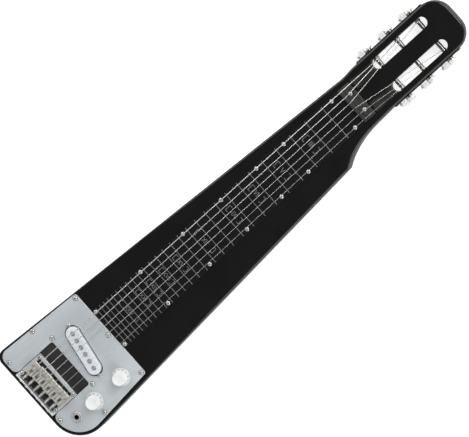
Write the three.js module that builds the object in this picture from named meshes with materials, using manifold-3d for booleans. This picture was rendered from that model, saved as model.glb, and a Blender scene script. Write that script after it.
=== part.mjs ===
// Lap steel guitar, in millimetres.
// +X runs along the neck to the headstock, +Y to the bass side, +Z out of the playing face.
// The origin lies on the back face, under the centre of the line on which the saddles carry the strings.

import * as THREE from 'three';
import { mergeVertices } from 'three/addons/utils/BufferGeometryUtils.js';
import Module from 'manifold-3d';

const wasm = await Module();
wasm.setup();

// Clearances and the overrun of cutting tools
const seatGap = 0.3;
const runGap = 0.3;
const overrun = 2;

// Neck and strings
const scaleLength = 533.4;
const stringCount = 6;
const bridgePitch = 10.5;
const nutPitch = 8.96;
const stringDiameters = [1.3, 1.05, 0.85, 0.6, 0.45, 0.4];

// Body
const bodyThickness = 38;
const bodyRear = 42;
const bassAtSaddles = 70.8;
const trebleAtSaddles = 88.6;
const waistBeyondNut = 12.6;
const bassAtWaist = 34.4;
const shoulderBehindNut = 59.9;
const trebleAtShoulder = 56.3;
const neckCurveLength = 70;
const trebleNeckHalf = 36.8;
const rearBassRadius = 12.5;
const rearTrebleRadius = 42;
const edgeRadius = 3;

// Headstock
const headThickness = 22;
const headHalf = 35.8;
const headBeyondNut = 34.6;
const headEndRoom = 30.3;
const headCornerRadius = 25.5;
const heelBeyondNut = 30.6;
const heelLength = 14;
const slotBeyondNut = 50.7;
const slotEndRoom = 11;
const slotInner = 11.4;
const slotOuter = 26.3;
const rampBeyondNut = 19.6;
const rampDepth = 9;

// Routs under the control plate
const routRoom = 4;
const routRadius = 6;
const coilRoutEnd = 2;
const coilRoutSide = 8;
const controlRoutSide = 3;
const controlRoutEnd = 6;

// Control plate
const plateThickness = 2;
const plateRear = 36.3;
const plateFrontX = 98.6;
const plateRearBass = 69.8;
const plateFrontBass = 62.1;
const plateRearTreble = 87.4;
const plateFrontTreble = 75;
const plateRearBassRadius = 11.5;
const plateRearFlat = 1;
const plateFrontRadius = 3.5;
const bridgeWindowGap = 0.8;
const bridgeWindowFrontX = 31.4;
const bridgeWindowRadius = 3.5;
const lobeRadius = 8.5;
const plateScrewHole = 3.4;

// Fretboard
const boardThickness = 1.6;
const boardRearGap = 0.8;
const boardRearBass = 30.9;
const boardRearTreble = 33.4;
const boardFrontBass = 25.9;
const boardFrontTreble = 26.2;
const boardCornerRadius = 1;
const boardScrewInset = 4.1;
const boardScrewHole = 3;

// Nut
const nutLength = 16.8;
const nutSide = 3.6;
const nutBaseThickness = 2.2;
const nutLegThickness = 3;
const nutSlotRise = 8.4;
const nutSlotDepth = 1.6;
const nutSlotClearance = 0.5;
const nutScrewSetback = 9.4;
const nutScrewSpread = 26.2;
const nutScrewHole = 3.2;

// Bridge
const bridgeFront = 8.3;
const bridgeSide = 4.8;
const bridgePlateThickness = 2;
const bridgeFlangeHeight = 10;
const bridgeCornerRadius = 1.5;
const bridgeScrewFrontInset = 3.5;
const bridgeScrewRearInset = 5.6;
const bridgeScrewSideInset = 3.8;
const bridgeScrewHole = 4;
const stringHoleBack = 13.3;
const stringHole = 3;

// Saddles, with how far each is set back for its string
const saddleSetbacks = [1.8, 0.4, 0, 0.6, 0.2, 0];
const saddleTail = 5.7;
const saddleGap = 0.6;
const saddleSheet = 1.6;
const saddleRise = 10;
const saddleCrown = 1;
const saddleNose = 2;
const saddleTabDrop = 6;
const saddleNoseDrop = 4.6;
const saddleSlotLength = 8.5;
const saddleSlotLead = 4.8;
const saddleSlotWidth = 2.6;
const saddleLegDiameter = 2.6;
const saddleLegInset = 0.35;
const saddleLegBack = 5.6;

// Intonation screws and springs
const tuneScrewDiameter = 2.8;
const tuneScrewRise = 7;
const tuneHeadDiameter = 5.2;
const tuneHeadLength = 2;
const springRoom = 14;
const springWire = 0.6;
const springMeanDiameter = 4.2;
const springCurls = 5;

// Strings at their ends
const ballDiameter = 4.2;
const ballLength = 3.6;
const ballClearance = 0.5;
const ballRecessDepth = 4.5;
const stringBendRise = 1.4;
const rollerWraps = 1.25;
const wrapGap = 0.5;

// Pickup
const pickupX = 56;
const pickupTilt = THREE.MathUtils.degToRad(10.3);
const coverLength = 70.5;
const coverWidth = 18.6;
const coverProud = 5.6;
const coverDepth = 16.4;
const coverWall = 1.4;
const coverEdge = 1.2;
const coverClearance = 0.5;
const poleDiameter = 5;
const poleEndInset = 9.15;
const poleProud = 0.7;
const coilBaseThickness = 2;
const coilBaseEnd = 4;
const coilBaseWidth = 20;
const pickupScrewHole = 3.2;
const pickupPostDiameter = 5;

// Controls
const controlY = -58;
const volumeX = 20.5;
const toneX = 69.4;
const jackX = -11.5;
const potDiameter = 24;
const potDepth = 9;
const potBush = 9.4;
const potBushRise = 4.4;
const potNut = 14;
const potNutHeight = 2.2;
const shaftDiameter = 6;
const shaftRise = 11;
const knobSkirt = 25.4;
const knobCap = 17.6;
const knobHeight = 14.6;
const knobRimHeight = 1.4;
const knobSkirtHeight = 5.2;
const knobEdge = 0.8;
const jackBarrel = 9.2;
const jackBore = 6.6;
const jackDepth = 24;
const jackRise = 3.4;
const jackFlange = 15;
const jackFlangeThickness = 2;
const jackNutAcross = 12.6;
const jackNutHeight = 2.2;

// Tuners
const tunerPitch = 35;
const tunerPlateNutEnd = 22.5;
const tunerPlateHeadEnd = 17.3;
const tunerScrewInset = 2.8;
const tunerPlateHeight = 14;
const tunerPlateThickness = 1.2;
const tunerScrewHole = 2.6;
const rollerDiameter = 6.2;
const rollerBearing = 5;
const gearDiameter = 12.8;
const gearThickness = 3.4;
const gearStandoff = 2.3;
const gearTeeth = 14;
const toothDepth = 1.1;
const wormDiameter = 5.6;
const wormLength = 9.4;
const wormShaftDiameter = 3.4;
const bracketWidth = 8;
const bracketWall = 1.4;
const buttonWidth = 23.4;
const buttonThickness = 10;
const buttonHeight = 15;
const buttonNeck = 7.4;
const buttonSocketDepth = 8;
const buttonFirstTurn = THREE.MathUtils.degToRad(10);

// Places that follow from the sizes above
const faceZ = bodyThickness;
const plateBottomZ = faceZ + seatGap;
const plateTopZ = plateBottomZ + plateThickness;
const nutX = scaleLength;
const nutWidth = (stringCount - 1) * nutPitch + 2 * nutSide;
const nutSlotZ = faceZ + nutSlotRise;
const headBackZ = faceZ - headThickness;
const tunerAxisZ = faceZ - headThickness / 2;
const waistX = nutX + waistBeyondNut;
const shoulderX = nutX - shoulderBehindNut;
const neckEndX = shoulderX + neckCurveLength;
const headStraightX = nutX + headBeyondNut;
const heelX = nutX + heelBeyondNut;
const rampStartX = nutX + rampBeyondNut;
const slotStartX = nutX + slotBeyondNut;
const slotLength = 2 * (slotEndRoom + tunerPitch);
const headEndX = slotStartX + slotLength + headEndRoom;
const firstRollerX = slotStartX + slotEndRoom;
const middleRollerX = firstRollerX + tunerPitch;
const tunerPlateInner = headHalf + seatGap;
const gearMid = tunerPlateThickness + gearStandoff + gearThickness / 2;
const wormOffset = gearDiameter / 2 + wormDiameter / 2 + runGap;
const wormY = tunerPlateInner + gearMid;
const boardRearX = plateFrontX + boardRearGap;
const saddleTopZ = faceZ + saddleRise;
const saddleWidth = bridgePitch - saddleGap;
const saddleLength = saddleNose + stringHoleBack + saddleTail;
const saddleSlotFront = stringHoleBack - saddleSlotLead;
const saddleLegSpread = saddleWidth - saddleLegDiameter - 2 * saddleLegInset;
const tuneScrewZ = faceZ + tuneScrewRise;
const tuneScrewTip = stringHoleBack + stringHole / 2 + runGap;
const routDepth = jackDepth + routRoom;
const ballRecess = ballDiameter + 2 * ballClearance;
const bridgeTopZ = plateBottomZ + bridgePlateThickness;
const bridgeRear = saddleLength - saddleNose + springRoom;
const bridgeHalf = (stringCount * bridgePitch - saddleGap) / 2 + bridgeSide;
const bridgeWindowHalf = bridgeHalf + bridgeWindowGap;
const poleSpread = coverLength - 2 * poleEndInset;
const pickupScrewSpread = coverLength + pickupPostDiameter + 2 * coverClearance;
const coilBaseLength = pickupScrewSpread + 2 * coilBaseEnd;

// A closed surface as a solid: corners welded, empty triangles dropped, faces turned outwards
function solid(geometry) {
  const bare = new THREE.BufferGeometry();
  bare.setAttribute('position', geometry.getAttribute('position'));
  bare.setIndex(geometry.getIndex());
  const merged = mergeVertices(bare);
  const corners = merged.getAttribute('position').array;
  const all = Array.from(merged.getIndex().array);
  const triangles = [];
  let volume = 0;
  for (let i = 0; i < all.length; i += 3) {
    const [a, b, c] = all.slice(i, i + 3);
    if (a === b || b === c || c === a) continue;
    triangles.push(a, b, c);
    const [p, q, r] = [a, b, c].map((k) => new THREE.Vector3().fromArray(corners, 3 * k));
    volume += p.dot(q.cross(r));
  }
  if (volume < 0) triangles.reverse();
  return new wasm.Manifold(new wasm.Mesh({
    numProp: 3,
    vertProperties: new Float32Array(corners),
    triVerts: new Uint32Array(triangles),
  }));
}

function cutAway(base, geometries) {
  return geometries.reduce((rest, geometry) => rest.subtract(solid(geometry)), base);
}

function joinAll(base, geometries) {
  return geometries.reduce((whole, geometry) => whole.add(solid(geometry)), base);
}

function piece(name, manifold, material) {
  const { vertProperties, triVerts } = manifold.getMesh();
  const geometry = new THREE.BufferGeometry();
  geometry.setAttribute('position', new THREE.BufferAttribute(vertProperties, 3));
  geometry.setIndex(new THREE.BufferAttribute(triVerts, 1));
  geometry.computeVertexNormals();
  const mesh = new THREE.Mesh(geometry, material);
  mesh.name = name;
  return mesh;
}

// A cylinder along Z that stands on its given point
function rod(diameter, length, sides, x = 0, y = 0, z = 0) {
  const geometry = new THREE.CylinderGeometry(diameter / 2, diameter / 2, length, sides);
  return geometry.rotateX(Math.PI / 2).translate(x, y, z + length / 2);
}

function block(low, high) {
  const size = high.map((value, axis) => value - low[axis]);
  const middle = high.map((value, axis) => (value + low[axis]) / 2);
  return new THREE.BoxGeometry(...size).translate(...middle);
}

// A profile of radius and height pairs turned about Z
function turned(profile, sides) {
  const points = profile.map(([radius, height]) => new THREE.Vector2(radius, height));
  return new THREE.LatheGeometry(points, sides).rotateX(Math.PI / 2);
}

function slab(shape, bottom, thickness, curveSegments) {
  const settings = { depth: thickness, bevelEnabled: false, curveSegments };
  return new THREE.ExtrudeGeometry(shape, settings).translate(0, 0, bottom);
}

// A slab whose edges are rounded on both faces
function softSlab(shape, bottom, thickness, radius, curveSegments, bevelSegments) {
  const settings = {
    depth: thickness - 2 * radius,
    bevelEnabled: true,
    bevelThickness: radius,
    bevelSize: radius,
    bevelOffset: -radius,
    bevelSegments,
    curveSegments,
  };
  return new THREE.ExtrudeGeometry(shape, settings).translate(0, 0, bottom + radius);
}

// A side view drawn in X and Z, made as wide as the given stretch of Y
function sideSlab(points, lowY, highY) {
  const shape = new THREE.Shape(points.map(([x, z]) => new THREE.Vector2(x, z)));
  const settings = { depth: highY - lowY, bevelEnabled: false };
  return new THREE.ExtrudeGeometry(shape, settings).rotateX(Math.PI / 2).translate(0, highY, 0);
}

// Rounds one corner of an outline, going on from wherever the outline has come to
function turnCorner(path, before, corner, after, radius) {
  const point = new THREE.Vector2(corner[0], corner[1]);
  const back = new THREE.Vector2(before[0], before[1]).sub(point).normalize();
  const ahead = new THREE.Vector2(after[0], after[1]).sub(point).normalize();
  const half = Math.acos(back.dot(ahead)) / 2;
  const centre = back.clone().add(ahead).setLength(radius / Math.sin(half)).add(point);
  const reach = radius / Math.tan(half);
  const start = back.clone().multiplyScalar(reach).add(point).sub(centre).angle();
  const end = ahead.clone().multiplyScalar(reach).add(point).sub(centre).angle();
  path.absarc(centre.x, centre.y, radius, start, end, back.cross(ahead) > 0);
}

function roundedShape(corners) {
  const shape = new THREE.Shape();
  corners.forEach((corner, i) => {
    const after = corners[(i + 1) % corners.length];
    turnCorner(shape, corners.at(i - 1), corner, after, corner[2]);
  });
  return shape;
}

function rectangle(lowX, highX, lowY, highY, radius) {
  return roundedShape([
    [lowX, lowY, radius],
    [highX, lowY, radius],
    [highX, highY, radius],
    [lowX, highY, radius],
  ]);
}

function circle(x, y, diameter) {
  return new THREE.Path().absarc(x, y, diameter / 2, 0, 2 * Math.PI, false);
}

// A bar with half-round ends, its length along Y
function stadium(length, width) {
  const reach = (length - width) / 2;
  const shape = new THREE.Shape();
  shape.absarc(0, reach, width / 2, 0, Math.PI, false);
  shape.absarc(0, -reach, width / 2, Math.PI, 2 * Math.PI, false);
  return shape;
}

// A round tube through points, with flat ends
function tube(points, diameter, sides) {
  const path = points.map((point) => new THREE.Vector3(...point));
  const positions = [];
  const index = [];
  let across = null;
  path.forEach((point, i) => {
    const before = path[Math.max(i - 1, 0)];
    const after = path[Math.min(i + 1, path.length - 1)];
    const along = after.clone().sub(before).normalize();
    const guide = across ?? new THREE.Vector3(0, 1, 0);
    across = guide.clone().addScaledVector(along, -guide.dot(along)).normalize();
    const up = along.clone().cross(across);
    for (let k = 0; k < sides; k += 1) {
      const angle = (2 * Math.PI * k) / sides;
      const spot = point.clone();
      spot.addScaledVector(across, (Math.cos(angle) * diameter) / 2);
      spot.addScaledVector(up, (Math.sin(angle) * diameter) / 2);
      positions.push(...spot.toArray());
    }
  });
  const last = (path.length - 1) * sides;
  for (let ring = 0; ring < last; ring += sides) {
    for (let k = 0; k < sides; k += 1) {
      const [a, b] = [ring + k, ring + ((k + 1) % sides)];
      index.push(a, b, b + sides, a, b + sides, a + sides);
    }
  }
  for (let k = 1; k < sides - 1; k += 1) {
    index.push(0, k + 1, k, last, last + k, last + k + 1);
  }
  const geometry = new THREE.BufferGeometry();
  geometry.setAttribute('position', new THREE.Float32BufferAttribute(positions, 3));
  geometry.setIndex(index);
  return geometry;
}

// The least gap between turns of a coiled tube, measured on the points of its middle line
function leastGap(points, diameter, stepsPerTurn) {
  const path = points.map((point) => new THREE.Vector3(...point));
  let least = Infinity;
  for (let i = 0; i < path.length; i += 1) {
    for (let j = i + Math.ceil(stepsPerTurn / 2); j < path.length; j += 1) {
      least = Math.min(least, path[i].distanceTo(path[j]));
    }
  }
  return least - diameter;
}

// Materials
function paint(colour, roughness, metalness) {
  return new THREE.MeshStandardMaterial({ color: colour, roughness, metalness });
}
const glossBlack = paint('#141412', 0.18, 0);
const boardBlack = paint('#1c1b1a', 0.4, 0);
const nutBlack = paint('#2b2c2f', 0.35, 0);
const satinMetal = paint('#b6bcc3', 0.38, 0.8);
const whitePlastic = paint('#eef2f5', 0.35, 0);
const copperCoil = paint('#8a4a2c', 0.5, 0.6);
const chrome = paint('#c9ccd0', 0.15, 1);
const nickel = paint('#b9b6a8', 0.25, 1);
const darkMetal = paint('#3a3a3c', 0.3, 0.9);
const stringSteel = paint('#c4c2bc', 0.3, 1);
const pearl = paint('#f2efe6', 0.25, 0);

function stringY(number, pitch) {
  return ((stringCount - 1) / 2 - number) * pitch;
}

// Where a string meets a given place along the neck
function stringYAt(number, x) {
  return THREE.MathUtils.lerp(stringY(number, bridgePitch), stringY(number, nutPitch), x / nutX);
}

// Body outline
const shoulderRadius = 5;
const neckCurveShares = [[0.286, 0.656], [0.6, 0.97]];
const waistBack = 3;
const waistAhead = 4;
const headLead = 9;
const heelRiseShare = 0.16;

function bassEdge(x) {
  return THREE.MathUtils.lerp(bassAtSaddles, bassAtWaist, x / waistX);
}

function trebleEdge(x) {
  return -THREE.MathUtils.lerp(trebleAtSaddles, trebleAtShoulder, x / shoulderX);
}

function bodyShape() {
  const rearBass = [-bodyRear, bassEdge(-bodyRear)];
  const rearTreble = [-bodyRear, trebleEdge(-bodyRear)];
  const shoulder = [shoulderX, -trebleAtShoulder];
  const controls = neckCurveShares.map(([alongShare, acrossShare]) => [
    THREE.MathUtils.lerp(shoulderX, neckEndX, alongShare),
    -THREE.MathUtils.lerp(trebleAtShoulder, trebleNeckHalf, acrossShare),
  ]);
  const headTreble = [headEndX, -headHalf];
  const headBass = [headEndX, headHalf];
  const shape = new THREE.Shape();
  turnCorner(shape, rearBass, rearTreble, shoulder, rearTrebleRadius);
  turnCorner(shape, rearTreble, shoulder, controls[0], shoulderRadius);
  shape.bezierCurveTo(...controls[0], ...controls[1], neckEndX, -trebleNeckHalf);
  shape.lineTo(headStraightX, -headHalf);
  turnCorner(shape, [headStraightX, -headHalf], headTreble, headBass, headCornerRadius);
  turnCorner(shape, headTreble, headBass, [headStraightX, headHalf], headCornerRadius);
  shape.lineTo(headStraightX, headHalf);
  const waistEnd = waistX + waistAhead;
  const waistStart = waistX - waistBack;
  shape.bezierCurveTo(
    headStraightX - headLead, headHalf, waistEnd, bassEdge(waistEnd), waistStart, bassEdge(waistStart),
  );
  turnCorner(shape, [waistX, bassAtWaist], rearBass, rearTreble, rearBassRadius);
  return shape;
}

// The side view of what is as thick as the body, ending in a slanted heel under the headstock
function heelView() {
  const aboveFace = faceZ + overrun;
  return [
    [-bodyRear - overrun, -overrun],
    [heelX - heelLength, -overrun],
    [heelX - heelLength, 0],
    [heelX - heelLength / 2, headBackZ * heelRiseShare],
    [heelX, headBackZ / 2],
    [heelX + heelLength / 2, headBackZ],
    [heelX + heelLength / 2, aboveFace],
    [-bodyRear - overrun, aboveFace],
  ];
}

function slotTools(side) {
  const width = slotOuter - slotInner;
  const middle = (side * (slotOuter + slotInner)) / 2;
  const endX = slotStartX + width / 2;
  const slot = slab(stadium(slotLength, width), headBackZ - overrun, headThickness + 2 * overrun, 5);
  slot.rotateZ(Math.PI / 2).translate(slotStartX + slotLength / 2, middle, 0);
  const ramp = sideSlab([
    [rampStartX, faceZ],
    [endX, faceZ - rampDepth],
    [endX, faceZ + overrun],
    [rampStartX, faceZ + overrun],
  ], middle - width / 2, middle + width / 2);
  return [slot, ramp];
}

function rollerPlaces() {
  const places = [];
  for (let number = 0; number < stringCount; number += 1) {
    const onBass = number < stringCount / 2;
    const order = onBass ? number : stringCount - 1 - number;
    places.push({ side: onBass ? 1 : -1, order, x: firstRollerX + order * tunerPitch });
  }
  return places;
}
const rollers = rollerPlaces();

function rollerBores() {
  const inner = slotInner - rollerBearing - runGap;
  return rollers.map(({ side, x }) => {
    const bore = rod(rollerDiameter + 4 * runGap, headHalf + overrun - inner, 8, 0, 0, inner);
    return bore.rotateX((-side * Math.PI) / 2).translate(x, 0, tunerAxisZ);
  });
}

function routTools() {
  const floor = faceZ - routDepth;
  const depth = routDepth + overrun;
  const halfLength = coilBaseLength / 2 + coilRoutEnd;
  const halfWidth = coilBaseWidth / 2 + coilRoutSide;
  const pickupRout = slab(
    rectangle(-halfWidth, halfWidth, -halfLength, halfLength, routRadius), floor, depth, 3,
  );
  const controlHalf = potDiameter / 2 + controlRoutSide;
  const controlRout = slab(rectangle(
    jackX - jackFlange / 2 - controlRoutEnd, toneX + potDiameter / 2 + controlRoutEnd,
    controlY - controlHalf, controlY + controlHalf, routRadius,
  ), floor, depth, 3);
  return [pickupRout.rotateZ(-pickupTilt).translate(pickupX, 0, 0), controlRout];
}

function stringBores() {
  return rollers.flatMap((place, number) => {
    const y = stringY(number, bridgePitch);
    return [
      rod(stringHole, faceZ + 2 * overrun, 8, -stringHoleBack, y, -overrun),
      rod(ballRecess, ballRecessDepth + overrun, 10, -stringHoleBack, y, -overrun),
    ];
  });
}

function makeBody() {
  const outline = bodyShape();
  const full = solid(softSlab(outline, 0, bodyThickness, edgeRadius, 5, 2));
  const thick = full.intersect(solid(sideSlab(heelView(), -2 * trebleAtSaddles, 2 * trebleAtSaddles)));
  const thin = solid(softSlab(outline, headBackZ, headThickness, edgeRadius, 5, 2));
  const tools = [
    ...routTools(), ...stringBores(), ...slotTools(1), ...slotTools(-1), ...rollerBores(),
  ];
  return piece('body', cutAway(thick.add(thin), tools), glossBlack);
}

// Control plate, with the places of its screws
const plateFrontScrewInset = 4.6;
const plateSideScrewInset = 4.3;
const plateRearScrewInset = 3.9;
const plateMiddleScrewY = -6.2;
const windowScrewOffset = 3;
const bassEdgeScrewInset = 2.8;
const trebleEdgeScrewInset = 5;
const rearScrewBassOffset = 17.4;
const rearScrewTrebleOffset = 10;

function plateEdge(rearHalf, frontHalf, x) {
  return THREE.MathUtils.mapLinear(x, -plateRear, plateFrontX, rearHalf, frontHalf);
}

function plateScrewPlaces() {
  const frontX = plateFrontX - plateFrontScrewInset;
  const rearX = plateRearScrewInset - plateRear;
  const windowX = bridgeWindowFrontX + windowScrewOffset;
  const windowY = bridgeWindowHalf + windowScrewOffset;
  return [
    [rearX, bridgeWindowHalf + rearScrewBassOffset],
    [rearX, -bridgeWindowHalf - rearScrewTrebleOffset],
    [volumeX, plateEdge(plateRearBass, plateFrontBass, volumeX) - bassEdgeScrewInset],
    [volumeX, trebleEdgeScrewInset - plateEdge(plateRearTreble, plateFrontTreble, volumeX)],
    [windowX, windowY],
    [windowX, -windowY],
    [frontX, plateFrontBass - plateSideScrewInset],
    [frontX, plateMiddleScrewY],
    [frontX, plateSideScrewInset - plateFrontTreble],
  ];
}

function pickupPlace(along) {
  return [pickupX + along * Math.sin(pickupTilt), along * Math.cos(pickupTilt)];
}

// The radius that takes up the plate's rear edge on the treble side, but for its short flat
function plateRearTrebleRadius() {
  const lean = Math.atan2(plateRearTreble - plateFrontTreble, plateFrontX + plateRear);
  const room = plateRearTreble - bridgeWindowHalf - lobeRadius - plateRearFlat;
  return room * Math.tan(Math.PI / 4 - lean / 2);
}

function makeControlPlate() {
  const shape = roundedShape([
    [-plateRear, -plateRearTreble, plateRearTrebleRadius()],
    [plateFrontX, -plateFrontTreble, plateFrontRadius],
    [plateFrontX, plateFrontBass, plateFrontRadius],
    [-plateRear, plateRearBass, plateRearBassRadius],
    [-plateRear, bridgeWindowHalf, lobeRadius],
    [bridgeWindowFrontX, bridgeWindowHalf, bridgeWindowRadius],
    [bridgeWindowFrontX, -bridgeWindowHalf, bridgeWindowRadius],
    [-plateRear, -bridgeWindowHalf, lobeRadius],
  ]);
  plateScrewPlaces().forEach(([x, y]) => shape.holes.push(circle(x, y, plateScrewHole)));
  for (const end of [-1, 1]) {
    const [x, y] = pickupPlace((end * pickupScrewSpread) / 2);
    shape.holes.push(circle(x, y, pickupScrewHole));
  }
  const window = stadium(coverLength + 2 * coverClearance, coverWidth + 2 * coverClearance);
  const toolBottom = plateBottomZ - overrun;
  const toolDepth = plateThickness + 2 * overrun;
  const windowTool = slab(window, toolBottom, toolDepth, 6);
  windowTool.rotateZ(-pickupTilt).translate(pickupX, 0, 0);
  const controlTools = [[volumeX, potBush], [toneX, potBush], [jackX, jackBarrel]].map(
    ([x, diameter]) => rod(diameter + 2 * seatGap, toolDepth, 12, x, controlY, toolBottom),
  );
  const plate = solid(slab(shape, plateBottomZ, plateThickness, 4));
  return piece('control_plate', cutAway(plate, [windowTool, ...controlTools]), satinMetal);
}

// Fretboard, with the fret spaces that hold a pair of screws
const boardScrewSpaces = [19, 13, 9, 6, 4, 1];
const boardRearScrewInset = 3.2;

function fretX(number) {
  return nutX * 2 ** (-number / 12);
}

function boardScrewPlaces() {
  const places = boardScrewSpaces.map((space) => (fretX(space) + fretX(space - 1)) / 2);
  return [boardRearX + boardRearScrewInset, ...places].flatMap((x) => {
    const share = (x - boardRearX) / (nutX - boardRearX);
    return [
      [x, THREE.MathUtils.lerp(boardRearBass, boardFrontBass, share) - boardScrewInset],
      [x, boardScrewInset - THREE.MathUtils.lerp(boardRearTreble, boardFrontTreble, share)],
    ];
  });
}

function makeFretboard() {
  const frontX = nutX - seatGap;
  const shape = roundedShape([
    [boardRearX, -boardRearTreble, boardCornerRadius],
    [frontX, -boardFrontTreble, boardCornerRadius],
    [frontX, boardFrontBass, boardCornerRadius],
    [boardRearX, boardRearBass, boardCornerRadius],
  ]);
  boardScrewPlaces().forEach(([x, y]) => shape.holes.push(circle(x, y, boardScrewHole)));
  return piece('fretboard', solid(slab(shape, plateBottomZ, boardThickness, 3)), boardBlack);
}

function makeNut() {
  const baseZ = plateBottomZ + nutBaseThickness;
  const legX = nutX + nutLegThickness;
  const topZ = nutSlotZ + nutSlotDepth;
  const view = [
    [nutX, plateBottomZ],
    [nutX + nutLength, plateBottomZ],
    [nutX + nutLength, baseZ],
    [legX, baseZ],
    [legX, topZ],
    [nutX, topZ],
  ];
  const tools = stringDiameters.map((diameter, number) => {
    const half = diameter / 2 + nutSlotClearance;
    const y = stringY(number, nutPitch);
    return block([nutX - overrun, y - half, nutSlotZ], [legX + overrun, y + half, topZ + overrun]);
  });
  for (const side of [-1, 1]) {
    const y = (side * nutScrewSpread) / 2;
    tools.push(rod(
      nutScrewHole, nutBaseThickness + 2 * overrun, 8, nutX + nutScrewSetback, y, plateBottomZ - overrun,
    ));
  }
  return piece('nut', cutAway(solid(sideSlab(view, -nutWidth / 2, nutWidth / 2)), tools), nutBlack);
}

// Bridge plate with its upturned rear edge
const flangeInnerX = bridgePlateThickness - bridgeRear;

function makeBridgePlate() {
  const shape = rectangle(-bridgeRear, bridgeFront, -bridgeHalf, bridgeHalf, bridgeCornerRadius);
  for (const x of [bridgeFront - bridgeScrewFrontInset, bridgeScrewRearInset - bridgeRear]) {
    for (const side of [-1, 1]) {
      shape.holes.push(circle(x, side * (bridgeHalf - bridgeScrewSideInset), bridgeScrewHole));
    }
  }
  for (let number = 0; number < stringCount; number += 1) {
    shape.holes.push(circle(-stringHoleBack, stringY(number, bridgePitch), stringHole));
  }
  const base = solid(slab(shape, plateBottomZ, bridgePlateThickness, 4));
  const flangeHalf = bridgeHalf - bridgeCornerRadius;
  const flange = block(
    [-bridgeRear, -flangeHalf, plateBottomZ], [flangeInnerX, flangeHalf, bridgeTopZ + bridgeFlangeHeight],
  );
  const holes = rollers.map((place, number) => {
    const length = bridgePlateThickness + 2 * overrun;
    const hole = rod(tuneScrewDiameter + 2 * runGap, length, 8);
    const y = stringY(number, bridgePitch);
    return hole.rotateY(Math.PI / 2).translate(-bridgeRear - overrun, y, tuneScrewZ);
  });
  return piece('bridge_plate', cutAway(joinAll(base, [flange]), holes), chrome);
}

// One saddle, drawn with its crown at x = 0
function saddleView() {
  const rear = saddleNose - saddleLength;
  const under = saddleTopZ - saddleSheet;
  return [
    [rear, saddleTopZ - saddleTabDrop],
    [rear + saddleSheet, saddleTopZ - saddleTabDrop],
    [rear + saddleSheet, under],
    [saddleNose - saddleSheet, under],
    [saddleNose - saddleSheet, saddleTopZ - saddleNoseDrop],
    [saddleNose, saddleTopZ - saddleNoseDrop],
    [saddleNose, saddleTopZ],
    [saddleNose / 2, saddleTopZ + saddleCrown],
    [-saddleNose / 2, saddleTopZ + saddleCrown],
    [-2 * saddleNose, saddleTopZ],
    [rear + saddleSheet / 2, saddleTopZ],
    [rear, saddleTopZ - saddleSheet / 2],
  ];
}

function makeSaddle(number) {
  const slot = stadium(saddleSlotLength, saddleSlotWidth);
  const slotTool = slab(slot, saddleTopZ - 2 * saddleSheet, 3 * saddleSheet, 3);
  slotTool.rotateZ(Math.PI / 2).translate(-saddleSlotFront - saddleSlotLength / 2, 0, 0);
  const rear = saddleNose - saddleLength;
  const tabHole = rod(tuneScrewDiameter + 2 * runGap, saddleSheet + 2 * overrun, 8);
  tabHole.rotateY(Math.PI / 2).translate(rear - overrun, 0, tuneScrewZ);
  const legBottom = bridgeTopZ + seatGap;
  const legs = [-1, 1].map((side) => rod(
    saddleLegDiameter, saddleTopZ - legBottom, 6, -saddleLegBack, (side * saddleLegSpread) / 2, legBottom,
  ));
  const sheet = solid(sideSlab(saddleView(), -saddleWidth / 2, saddleWidth / 2));
  const saddle = piece(
    `saddle_${number + 1}`, joinAll(cutAway(sheet, [slotTool, tabHole]), legs), nickel,
  );
  saddle.position.set(-saddleSetbacks[number], stringY(number, bridgePitch), 0);
  return saddle;
}

function makeIntonationScrew(number) {
  const headX = -bridgeRear - seatGap;
  const shaft = -tuneScrewTip - headX;
  const profile = [
    [0, -tuneHeadLength],
    [tuneHeadDiameter / 2, -tuneHeadLength],
    [tuneHeadDiameter / 2, 0],
    [tuneScrewDiameter / 2, 0],
    [tuneScrewDiameter / 2, shaft - tuneScrewDiameter / 4],
    [tuneScrewDiameter / 4, shaft],
    [0, shaft],
  ];
  const screw = piece(`intonation_screw_${number + 1}`, solid(turned(profile, 6)), chrome);
  screw.rotation.y = Math.PI / 2;
  screw.position.set(headX, stringY(number, bridgePitch), tuneScrewZ);
  return screw;
}

const springSteps = 8;

function springPoints(number) {
  const startX = flangeInnerX + seatGap + springWire / 2;
  const saddleRear = saddleNose - saddleLength - saddleSetbacks[number];
  const endX = saddleRear - seatGap - springWire / 2;
  const count = springCurls * springSteps;
  const points = [];
  for (let step = 0; step <= count; step += 1) {
    const angle = (2 * Math.PI * step) / springSteps;
    points.push([
      THREE.MathUtils.lerp(startX, endX, step / count),
      stringY(number, bridgePitch) + (Math.cos(angle) * springMeanDiameter) / 2,
      tuneScrewZ + (Math.sin(angle) * springMeanDiameter) / 2,
    ]);
  }
  return points;
}

function makeSpring(number) {
  const wire = solid(tube(springPoints(number), springWire, 5));
  return piece(`intonation_spring_${number + 1}`, wire, nickel);
}

// Strings: from the ball end up through the body, over the saddle and the nut, round the roller
const wrapSteps = 24;
const slotWallGap = 0.8;

function stringPoints(number) {
  const diameter = stringDiameters[number];
  const radius = diameter / 2;
  const y = stringY(number, bridgePitch);
  const crownX = -saddleSetbacks[number];
  const crownZ = saddleTopZ + saddleCrown + seatGap + radius;
  const overSaddle = saddleTopZ + stringBendRise;
  const ballZ = ballRecessDepth - seatGap - ballLength / 2;
  const nutZ = nutSlotZ + seatGap + radius;
  const nutRearX = nutX + nutLegThickness + seatGap;
  const nutY = stringY(number, nutPitch);
  return [
    [-stringHoleBack, y, ballZ],
    [-stringHoleBack, y, saddleTopZ],
    [-stringHoleBack + stringBendRise / 4, y, overSaddle - stringBendRise / 3],
    [-stringHoleBack + stringBendRise, y, overSaddle],
    [crownX, stringYAt(number, crownX), crownZ],
    [nutX - seatGap, nutY, nutZ],
    [nutRearX, nutY, nutZ],
    ...wrapPoints(number, nutRearX, nutZ),
  ];
}

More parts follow.
